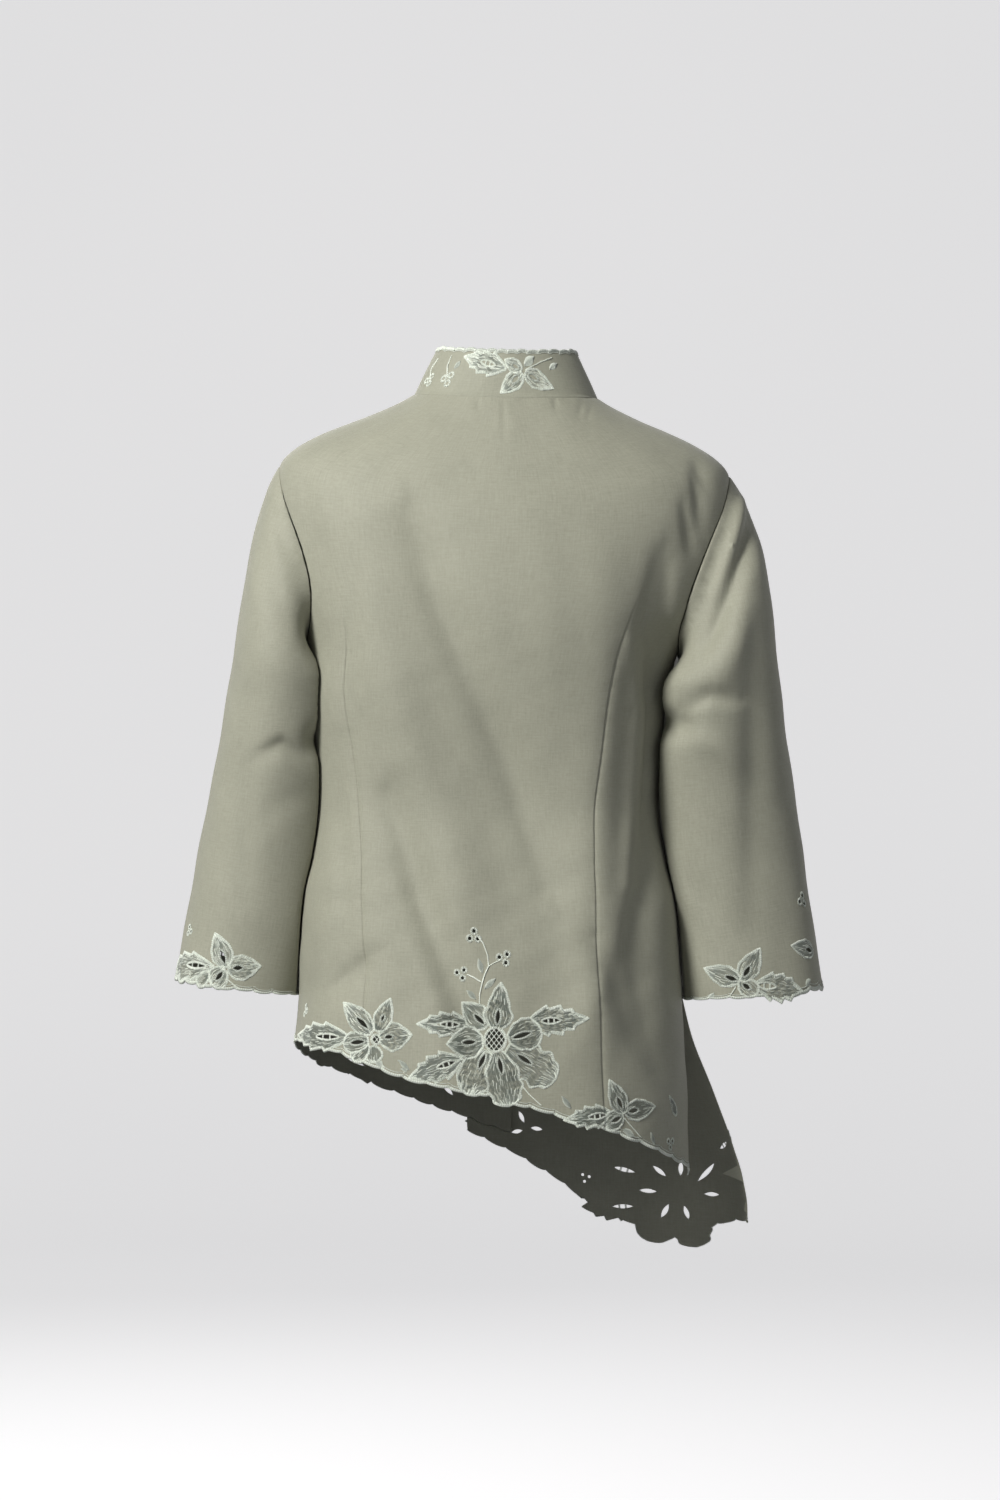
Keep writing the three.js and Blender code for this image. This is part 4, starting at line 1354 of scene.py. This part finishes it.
def layOut(name):
    # a motif's parts in its panel's flat places
    motif = motifs[name]
    starts = flatAt(motif["panel"], [part[1:3] for part in motif["parts"]])
    ends = flatAt(motif["panel"], [part[3:5] for part in motif["parts"]])
    parts = []
    for start, end, row in zip(starts, ends, motif["parts"]):
        part = {"kind": row[0], "start": start, "end": end, "width": row[5], "eyelet": row[6:8]}
        parts.append({**part, "pale": motif["pale"]})
    for path in motif["stems"]:
        parts.append({"kind": "stem", "path": flatAt(motif["panel"], path)})
    return parts


def edgeLevel(name, across):
    # where a panel's hem, cuff or collar top lies at places across it
    if name == "collar":
        return -collarHeight(np.interp(across, collarArcs, collarAngles))
    if name.startswith("sleeve"):
        return np.full(np.shape(across), sleeves[placeKey(name)]["reach"])
    return hemFall(name, angleOf(across))


def repeated(parts, fromPanel, toPanel, across, above, turned):
    # the parts moved along the hem, turned over if need be, and kept as far from the hem as before
    placed = [part for part in parts if part["kind"] != "stem"]
    middle = np.mean([part["start"] for part in placed], axis=0)
    moved = []

    def move(points):
        points = np.atleast_2d(points)
        x = across + turned * (points[:, 0] - middle[0])
        if toPanel == "collar":
            return pairs(x, points[:, 1])
        level = edgeLevel(toPanel, np.array([across]))
        down = level - above + points[:, 1] - middle[1]
        before = edgeLevel(fromPanel, points[:, 0]) - edgeLevel(fromPanel, middle[:1])
        return pairs(x, down + (edgeLevel(toPanel, x) - level) - before)

    for part in parts:
        copy = dict(part)
        for key in ("start", "end"):
            if key in part:
                copy[key] = move(part[key])[0]
        if "path" in part:
            copy["path"] = move(part["path"])
        moved.append(copy)
    return moved


def partFrame(part):
    leg = part["end"] - part["start"]
    length = float(np.hypot(*leg))
    along = leg / length
    return length, along, np.array([-along[1], along[0]])


def partWidth(part, share):
    profile = profiles[part["kind"]]
    if part["kind"] == "leaf":
        return np.interp(share, profile["along"], profile["width"]) * part["width"] / 2
    wave = 1 + (0.035 * np.sin(share * 23 + part["width"]) if part["width"] > 8 else 0)
    return np.maximum(0, curveThrough(profile, "along", "width", share)) * wave * part["width"] / 2


def partPoint(part, share, side):
    # share along its length, side from -1 to 1 of its half width
    length, along, aside = partFrame(part)
    off = partWidth(part, share) * side
    return part["start"] + (share * length)[..., None] * along + off[..., None] * aside


def partOutline(part):
    length = partFrame(part)[0]
    count = max(6, int(length / 1.1))
    share = np.unique(np.concatenate([np.linspace(0, 1, count), profiles[part["kind"]]["along"]]))
    one = partPoint(part, share, np.ones(len(share)))
    other = partPoint(part, share, -np.ones(len(share)))
    return np.vstack([one, other[::-1][1:]])


def lens(start, end, half, count=9):
    leg = end - start
    length = float(np.hypot(*leg))
    aside = np.array([-leg[1], leg[0]]) / length
    share = np.linspace(0, 1, count)
    bulge = half * np.sin(np.pi * share) ** 0.85
    one = start + share[:, None] * leg + bulge[:, None] * aside
    other = start + share[:, None] * leg - bulge[:, None] * aside
    return np.vstack([one[:-1], other[::-1][:-1]])


def oval(centre, halfWidth, halfHeight, count=18):
    turn = np.arange(count) * 2 * math.pi / count
    return pairs(centre[0] + halfWidth * np.cos(turn), centre[1] + halfHeight * np.sin(turn))


def holesOf(part):
    if part["kind"] == "lattice":
        centre = (part["start"] + part["end"]) / 2
        return [oval(centre, part["width"] / 2, np.hypot(*(part["end"] - part["start"])) / 2)]
    if part["kind"] == "sprig":
        away = part["end"] - part["start"]
        first = math.atan2(away[1], away[0])
        reach = part["width"] * 0.3
        turns = [first + k * 2 * math.pi / 3 for k in range(3)]
        centres = [part["start"] + reach * np.array([math.cos(t), math.sin(t)]) for t in turns]
        return [oval(centre, part["width"] * 0.14, part["width"] * 0.14, 12) for centre in centres]
    if part["kind"] == "stem" or part["eyelet"][1] <= 0:
        return []
    length, along = partFrame(part)[:2]
    ends = [part["start"] + along * length * share for share in part["eyelet"]]
    half = stitch["eyeHalf"] * min(1.0, np.hypot(*(ends[1] - ends[0])) / 9)
    return [lens(ends[0], ends[1], half)]


def clockwise(path):
    ahead = np.roll(path, -1, axis=0)
    return float(np.sum(path[:, 0] * ahead[:, 1] - ahead[:, 0] * path[:, 1])) > 0


def stations(path, pitch, closed):
    # even places along a path with the direction out of it
    even = resample(path, pitch, closed)
    out = -quarterTurn(directions(even, closed))
    if closed and not clockwise(even):
        out = -out
    return even, out


def sew(thread, points, lifts, radius, tone):
    # points has a row of flat places for each stitch; lifts is one row or one for each stitch
    if not len(points):
        return
    thread["points"].append(points)
    thread["lifts"].append(np.broadcast_to(lifts, points.shape[:2]).copy())
    thread["radius"].append(np.full(points.shape[:2], float(radius)))
    thread["tone"].append(np.broadcast_to(tone, points.shape[:2]).copy())


def satin(thread, path, outward, inward, pitch, tone, skip):
    # short stitches across the edge of an opening or a part, over a raised middle
    even, out = stations(path, pitch, True)
    keep = ~skip(even)
    even, out = even[keep], out[keep]
    if not len(even):
        return
    slant = quarterTurn(out) * 0.3
    order = np.arange(len(even))
    ragged = 0.3 * ((order * 7 % 5) / 4 - 0.3)[:, None] if inward > 0.6 else 0.0
    outer = even + out * (outward + ragged) - slant
    inner = even - out * (inward + 1.6 * ragged) + slant
    points = np.stack([outer, (outer + inner) / 2, inner], axis=1)
    shade = tone + 0.16 * np.sin(order * 2.4)[:, None] * np.ones(3)
    sew(thread, points, (0.02, 0.52, 0.02), stitch["fineRadius"], shade)


def fillPart(thread, part, skip, random):
    length = partFrame(part)[0]
    lines = max(3, int(part["width"] * 0.92 / stitch["pitch"]))
    side = np.linspace(-0.95, 0.95, lines)
    perLine = int(length / stitch["length"]) + 2
    phase = random.random(lines) * stitch["length"]
    begin = np.arange(perLine)[None, :] * stitch["length"] - phase[:, None]
    first = np.clip(begin / length, 0.03, 0.99)
    last = np.clip((begin + stitch["length"] * 0.97) / length, 0.03, 0.99)
    side = np.repeat(side[:, None], perLine, axis=1)
    odd = np.repeat((np.arange(lines) % 2 == 1)[:, None], perLine, axis=1)
    middle = (first + last) / 2
    keep = last - first > 0.9 / length
    keep &= ~(odd & (partWidth(part, middle) < 0.24 * part["width"]))
    first, last, middle, side = first[keep], last[keep], middle[keep], side[keep]
    points = np.stack([partPoint(part, share, side) for share in (first, middle, last)], axis=1)
    shown = ~skip(points[:, 1])
    points, middle, side = points[shown], middle[shown], side[shown]
    pale = 0.5 * smooth((middle - 0.6) / 0.4) + 0.25 * smooth((np.abs(side) - 0.55) / 0.5)
    x, y = points[:, 1, 0], points[:, 1, 1]
    fleck = np.sin(x * 1.9 + 2 * np.sin(y * 0.8)) * np.sin(y * 1.6)
    bright = smooth((random.random(len(points)) - 0.62) / 0.3)
    tone = part["pale"] + 0.1 + 0.26 * random.random(len(points))
    tone = tone + 0.5 * bright + 0.3 * np.maximum(0, fleck)
    tone += pale * (0.3 + 0.7 * random.random(len(points)))
    sew(thread, points, (-0.1, stitch["lift"], -0.1), stitch["radius"], tone[:, None])


def crossFill(thread, part, skip, tone):
    # a small leaf: slanted stitches from side to side
    length = partFrame(part)[0]
    share = np.linspace(0.06, 0.94, max(4, int(length / 0.62)))
    one = partPoint(part, np.clip(share + 0.06, 0, 1), np.full(len(share), 1.0))
    other = partPoint(part, np.clip(share - 0.06, 0, 1), np.full(len(share), -1.0))
    points = np.stack([one, (one + other) / 2, other], axis=1)
    points = points[~skip(points[:, 1])]
    sew(thread, points, (0.0, 0.6, 0.0), stitch["fineRadius"], (tone + 0.15, tone - 0.1, tone))


def meshThreads(thread, hole):
    # crossed threads over an open oval
    low, high = hole.min(axis=0), hole.max(axis=0)
    middle, half = (low + high) / 2, (high - low) / 2
    reach = float(half.max()) * 1.5
    for slope in (1, -1):
        for offset in np.arange(-reach, reach, stitch["meshStep"]):
            line = np.linspace(-1, 1, 60)[:, None] * reach * np.array([0.62, 0.78 * slope])
            line = line + middle + np.array([offset, 0])
            held = line[(((line - middle) / (half + 0.4)) ** 2).sum(axis=1) < 1]
            if len(held) > 4:
                ends = held[[0, len(held) // 2, -1]]
                sew(thread, ends[None], (0.1, 0.0, 0.1), stitch["fineRadius"], tones["crossed"])


def drawPart(thread, part, covers, random, cloth):
    # sews one part, leaving out what upper parts cover, and returns its outline and holes
    def hidden(points):
        return ~withinAny(points, cloth) | withinAny(points, covers)

    kind = part["kind"]
    holes = holesOf(part)
    if kind == "stem":
        even = resample(part["path"], stitch["stemPitch"])
        way = directions(even)
        aside = quarterTurn(way) * 0.32
        ahead = way * stitch["stemHalf"]
        points = np.stack([even - ahead - aside, even, even + ahead + aside], axis=1)
        shown = points[~hidden(even)]
        sew(thread, shown, (0.0, 0.6, 0.0), stitch["stemRadius"], tones["stem"])
        return None, holes
    if kind in ("lattice", "sprig"):
        rim = stitch["latticeRim"] if kind == "lattice" else part["width"] * stitch["sprigRim"]
        for hole in holes:
            satin(thread, hole, rim, 0.3, stitch["ringPitch"], tones["ring"], hidden)
            if kind == "lattice":
                meshThreads(thread, hole)
        if kind == "sprig":
            return None, holes
        low, high = holes[0].min(axis=0) - rim, holes[0].max(axis=0) + rim
        return oval((low + high) / 2, *((high - low) / 2)), holes
    outline = partOutline(part)
    if kind == "small":
        crossFill(thread, part, hidden, tones["small"])
        return outline, holes
    opened = [grown(hole, stitch["eyeRim"] * 0.75) for hole in holes]

    def hiddenOrOpen(points):
        return hidden(points) | withinAny(points, opened)

    fillPart(thread, part, hiddenOrOpen, random)
    bold = 1.35 if kind == "leaf" else 1.0
    inward = stitch["edgeWidth"] * bold - 0.35
    satin(thread, outline, 0.35, inward, stitch["edgePitch"], tones["edge"], hidden)
    eyeTone = tones["leafEye" if kind == "leaf" else "eye"]
    for hole in holes:
        satin(thread, hole, stitch["eyeRim"], 0.25, stitch["eyePitch"], eyeTone, hidden)
        if kind == "leaf":
            # two groups of bars across the eyelet
            length, along, aside = partFrame(part)
            for share in (0.36, 0.66):
                middle = part["start"] + along * length * mix(*part["eyelet"], share)
                for step in (-0.5, 0.0, 0.5):
                    ends = [middle + along * step + aside * way for way in (-2.4, 0, 2.4)]
                    lifts = (0.2, 0.3, 0.2)
                    sew(thread, np.array([ends]), lifts, stitch["barRadius"], tones["bar"])
    return outline, holes


def grown(path, by):
    middle = path.mean(axis=0)
    away = path - middle
    size = np.hypot(away[:, 0], away[:, 1])[:, None]
    return middle + away * (1 + by / np.maximum(size, 1e-6))


def clearOfMiddle(part):
    held = part["path"] if part["kind"] == "stem" else np.array([part["start"], part["end"]])
    return min(np.abs(held[:, 0])) > beyondHem["collarMiddle"]


def embroider(name):
    # draws every motif on a panel, and returns its thread, holes and parts past the hem
    panel = panels[name]
    thread = {"points": [], "lifts": [], "radius": [], "tone": []}
    random = np.random.default_rng(len(name) * 7 + 3)
    groups = [laidOut[key] for key in motifs if motifs[key]["panel"] == name]
    for toPanel, key, across, above, turned in repeats:
        if toPanel == name:
            groups.append(repeated(laidOut[key], motifs[key]["panel"], name, across, above, turned))
    if name == "collar":
        # the repeats keep clear of the motif at the centre back
        for parts in groups[1:]:
            parts[:] = [part for part in parts if clearOfMiddle(part)]
    covers, holes, beyond = [], [], []
    ends = np.sort(panel["hem"][[0, -1], 0])
    for part in (part for parts in groups for part in parts):
        kind = part["kind"]
        if kind in profiles:
            reach = partOutline(part)
        else:
            reach = np.vstack(holesOf(part) + [part.get("path", panel["hem"][:0])])
        outside = reach[~within(reach, panel["outline"])]
        passes = kind in profiles and kind != "small" and name != "collar" and len(outside) > 0
        if passes:
            x, down = outside[:, 0], outside[:, 1]
            inset = beyondHem["fromEnds"]
            passes = bool((down > edgeLevel(name, x) - beyondHem["rise"]).all())
            passes &= bool(((x > ends[0] + inset) & (x < ends[1] - inset)).all())
        if len(outside) and not passes and kind != "stem":
            if kind == "sprig" or len(outside) > beyondHem["lostShare"] * len(reach):
                continue
        cloth = [panel["outline"]] + ([reach] if passes else [])
        outline, opened = drawPart(thread, part, covers, random, cloth)
        shut = name == "collar" or (kind == "lattice" and name != "back")
        for hole in [] if shut else opened:
            if withinAny(hole, cloth).all() and not withinAny(hole, covers).any():
                holes.append(hole)
        if outline is not None:
            covers.append(outline)
            if passes:
                beyond.append(outline)
    panel["outlines"], panel["holes"] = beyond, holes
    hemEdge(thread, panel)
    return thread


def hemEdge(thread, panel):
    # satin round the cut edge and a fine rope a little way in from it
    hem, outline, beyond = panel["hem"], panel["outline"], panel["outlines"]

    def alongHem(pitch):
        even, out = stations(hem, pitch, False)
        inward = within(even + out, outline).mean() > 0.5
        return even, -out if inward else out

    even, out = alongHem(stitch["hemPitch"])
    keep = ~withinAny(even, beyond)
    edgeStitches(thread, even[keep], out[keep])
    inner, out = alongHem(stitch["ropePitch"])
    ahead = quarterTurn(out) * stitch["ropeHalf"]
    middle = inner - out * panel["ropeIn"]
    points = np.stack([middle - ahead, middle, middle + ahead], axis=1)
    shown = points[~withinAny(middle, beyond)]
    sew(thread, shown, (0.0, 0.45, 0.0), stitch["radius"], tones["rope"])
    for k, other in enumerate(beyond):
        even, out = stations(other, stitch["hemPitch"], True)
        keep = ~withinAny(even, [outline] + beyond[:k] + beyond[k + 1:])
        edgeStitches(thread, even[keep], out[keep])


def edgeStitches(thread, even, out):
    if not len(even):
        return
    slant = quarterTurn(out) * 0.25
    rows = [even + out * 0.25, even + out * 0.42, even - out * 0.8 + slant, even - out * 1.9 + slant]
    tone = tones["hem"] + 0.1 * np.sin(np.arange(len(even)) * 1.9)[:, None] * np.ones(4)
    sew(thread, np.stack(rows, axis=1), (-0.75, 0.2, 0.55, 0.02), stitch["radius"], tone)


fineBand = {"neck": 24, "hem": 70, "cuff": 62}


def fineArea(name):
    # where a panel is meshed finely: near its neck, its hem or its cuff
    if name == "collar":
        return lambda flat: np.ones(len(flat), bool)
    if name.startswith("sleeve"):
        reach = sleeves[placeKey(name)]["reach"]
        return lambda flat: flat[:, 1] > reach - fineBand["cuff"]

    def nearEdge(flat):
        nearHem = flat[:, 1] > hemFall(name, angleOf(flat[:, 0])) - fineBand["hem"]
        return nearHem | (flat[:, 1] < fineBand["neck"])

    return nearEdge


def placeOn(name, flat, lift=0.0):
    # a panel's flat places on the body, with its seam edges rolled in
    panel = panels[name]
    point, normal = panel["place"](placeKey(name), flat, lift)
    return point - normal * seamDip(flat, panel["seams"])[:, None], normal


def makePanel(name):
    panel = panels[name]
    outline, seams = panel["outline"], panel["seams"]
    lines = besideLines(seams, (0.35, 0.9, 1.6, 3.0))
    for line, first, last in panel["darts"]:
        lines.extend(dartLines(line, first, last))
    outlines = [outline] + panel["outlines"]
    sizes = panel["coarse"], panel["fine"]
    flat, triangles = meshFlat(outlines, panel["holes"], lines, *sizes, fineArea(name))
    panel["flat"], panel["triangles"] = flat, triangles
    points, normals = placeOn(name, flat)
    if name != "collar":
        leanBy = seamShape["sleeveLean" if name.startswith("sleeve") else "lean"]
        flat, triangles, points = addAllowance(flat, triangles, points, normals, seams, leanBy)
    face = cotton["sageCollarCotton" if name == "collar" else "sageCotton"]
    made = makeObject(name + "Cloth", points, triangles, flat, [face, cotton["sageCottonInside"]])
    thicken(made, panel["thickness"])
    print(made.name, len(made.data.polygons), "faces")
    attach(made, "root")
    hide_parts(name)
    return made


def buildStitchTree():
    # threads: every run of edges becomes a thin round strand of its own size
    tree, given, result = newGroup(
        "stitchThread",
        "GeometryNodeTree",
        [
            ("Stitches", "NodeSocketGeometry", None),
            ("Thread", "NodeSocketMaterial", None),
            ("Sides", "NodeSocketInt", None),
        ],
        [("Threads", "NodeSocketGeometry")],
    )
    size = addNode(
        tree, "GeometryNodeInputNamedAttribute", {"Name": "threadRadius"}, data_type="FLOAT")
    paths = addNode(tree, "GeometryNodeMeshToCurve")
    ring = addNode(tree, "GeometryNodeCurvePrimitiveCircle", {"Radius": 1.0})
    strands = addNode(tree, "GeometryNodeCurveToMesh")
    smoothly = addNode(tree, "GeometryNodeSetShadeSmooth")
    real = addNode(tree, "GeometryNodeRealizeInstances")
    coloured = addNode(tree, "GeometryNodeSetMaterial")
    wire(
        tree,
        (given, "Stitches", paths, "Mesh"),
        (given, "Sides", ring, "Resolution"),
        (paths, "Curve", strands, "Curve"),
        (ring, "Curve", strands, "Profile Curve"),
        (size, "Attribute", strands, "Scale"),
        (strands, "Mesh", smoothly, "Geometry"),
        (smoothly, "Geometry", real, "Geometry"),
        (real, "Geometry", coloured, "Geometry"),
        (given, "Thread", coloured, "Material"),
        (coloured, "Geometry", result, "Threads"),
    )
    return tree


def threadMaterial():
    # rayon thread: its shade follows each stitch, with fine streaks along it
    levels = {
        "Roughness": 0.42,
        "Specular IOR Level": 0.45,
        "Sheen Weight": 0.2,
        "Sheen Roughness": 0.4,
    }
    material, tree, shader = newMaterial("sageThread", levels)
    tone = addNode(tree, "ShaderNodeAttribute", attribute_name="tone")
    place = addNode(tree, "ShaderNodeTexCoord")
    streaks = stretchedNoise(tree, place.outputs["Object"], (1500, 1500, 1500))
    shade = centred(tree, streaks, 0.3, tone.outputs["Fac"])
    ramp = addNode(tree, "ShaderNodeValToRGB")
    stops = ramp.color_ramp.elements
    stops[0].position, stops[0].color = 0.1, (*threadShades["dark"], 1)
    stops[1].position, stops[1].color = 0.95, (*threadShades["pale"], 1)
    middle = stops.new(0.5)
    middle.color = (*threadShades["middle"], 1)
    tree.links.new(shade, ramp.inputs["Fac"])
    wire(tree, (ramp, "Color", shader, "Base Color"))
    return material


threadShades = {
    "dark": (0.105, 0.125, 0.105),
    "middle": (0.235, 0.265, 0.228),
    "pale": (0.80, 0.85, 0.76),
}
sageThread = threadMaterial()
stitchTree = buildStitchTree()


def makeThreads(name, thread):
    edges = []
    start = 0
    for rows in thread["points"]:
        count, each = rows.shape[:2]
        first = start + (np.arange(count)[:, None] * each + np.arange(each - 1)[None, :]).ravel()
        edges.append(np.stack([first, first + 1], axis=1))
        start += count * each
    flat = np.vstack([rows.reshape(-1, 2) for rows in thread["points"]])
    columns = [thread[key] for key in ("lifts", "radius", "tone")]
    lifts, radii, tones = (np.concatenate([rows.ravel() for rows in column]) for column in columns)
    points, _ = placeOn(name, flat, lifts)
    mesh = bpy.data.meshes.new(name + "Embroidery")
    mesh.from_pydata((points / 1000).tolist(), np.vstack(edges).tolist(), [])
    for label, values in (("threadRadius", radii / 1000), ("tone", tones)):
        layer = mesh.attributes.new(label, "FLOAT", "POINT")
        layer.data.foreach_set("value", values.astype(np.float32))
    mesh.materials.append(sageThread)
    sewn = newObject(name + "Embroidery", mesh)
    threads = sewn.modifiers.new("threads", "NODES")
    threads.node_group = stitchTree
    given = {"Thread": sageThread, "Sides": stitch["sides"]}
    for item in stitchTree.interface.items_tree:
        if item.in_out == "INPUT" and item.name in given:
            threads[item.identifier] = given[item.name]
    finished(sewn)
    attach(sewn, "root")
    print(sewn.name, start, "thread points,", len(sewn.data.polygons), "faces")
    return sewn


for name, panel in panels.items():
    panel["outline"], panel["seams"], panel["hem"] = panel["edges"]()
laidOut = {key: layOut(key) for key in motifs}
threads = {name: embroider(name) for name in panels}
print("embroidery drawn")
made = {name: makePanel(name) for name in panels}
embroidery = {name: makeThreads(name, threads[name]) for name in panels}


def cutSize(name):
    # the size and area of a panel as it was cut, in metres
    flat, triangles = panels[name]["flat"], panels[name]["triangles"]
    area = doubleAreas(flat, triangles).sum() / 2
    return [float(side) / 1000 for side in np.ptp(flat, axis=0)], float(area) / 1e6


for name, cloth in made.items():
    size, area = cutSize(name)
    width, height = (round(side, 3) for side in size)
    print(name, "cut", width, "by", height, "m, area", round(area, 4), "square metres")
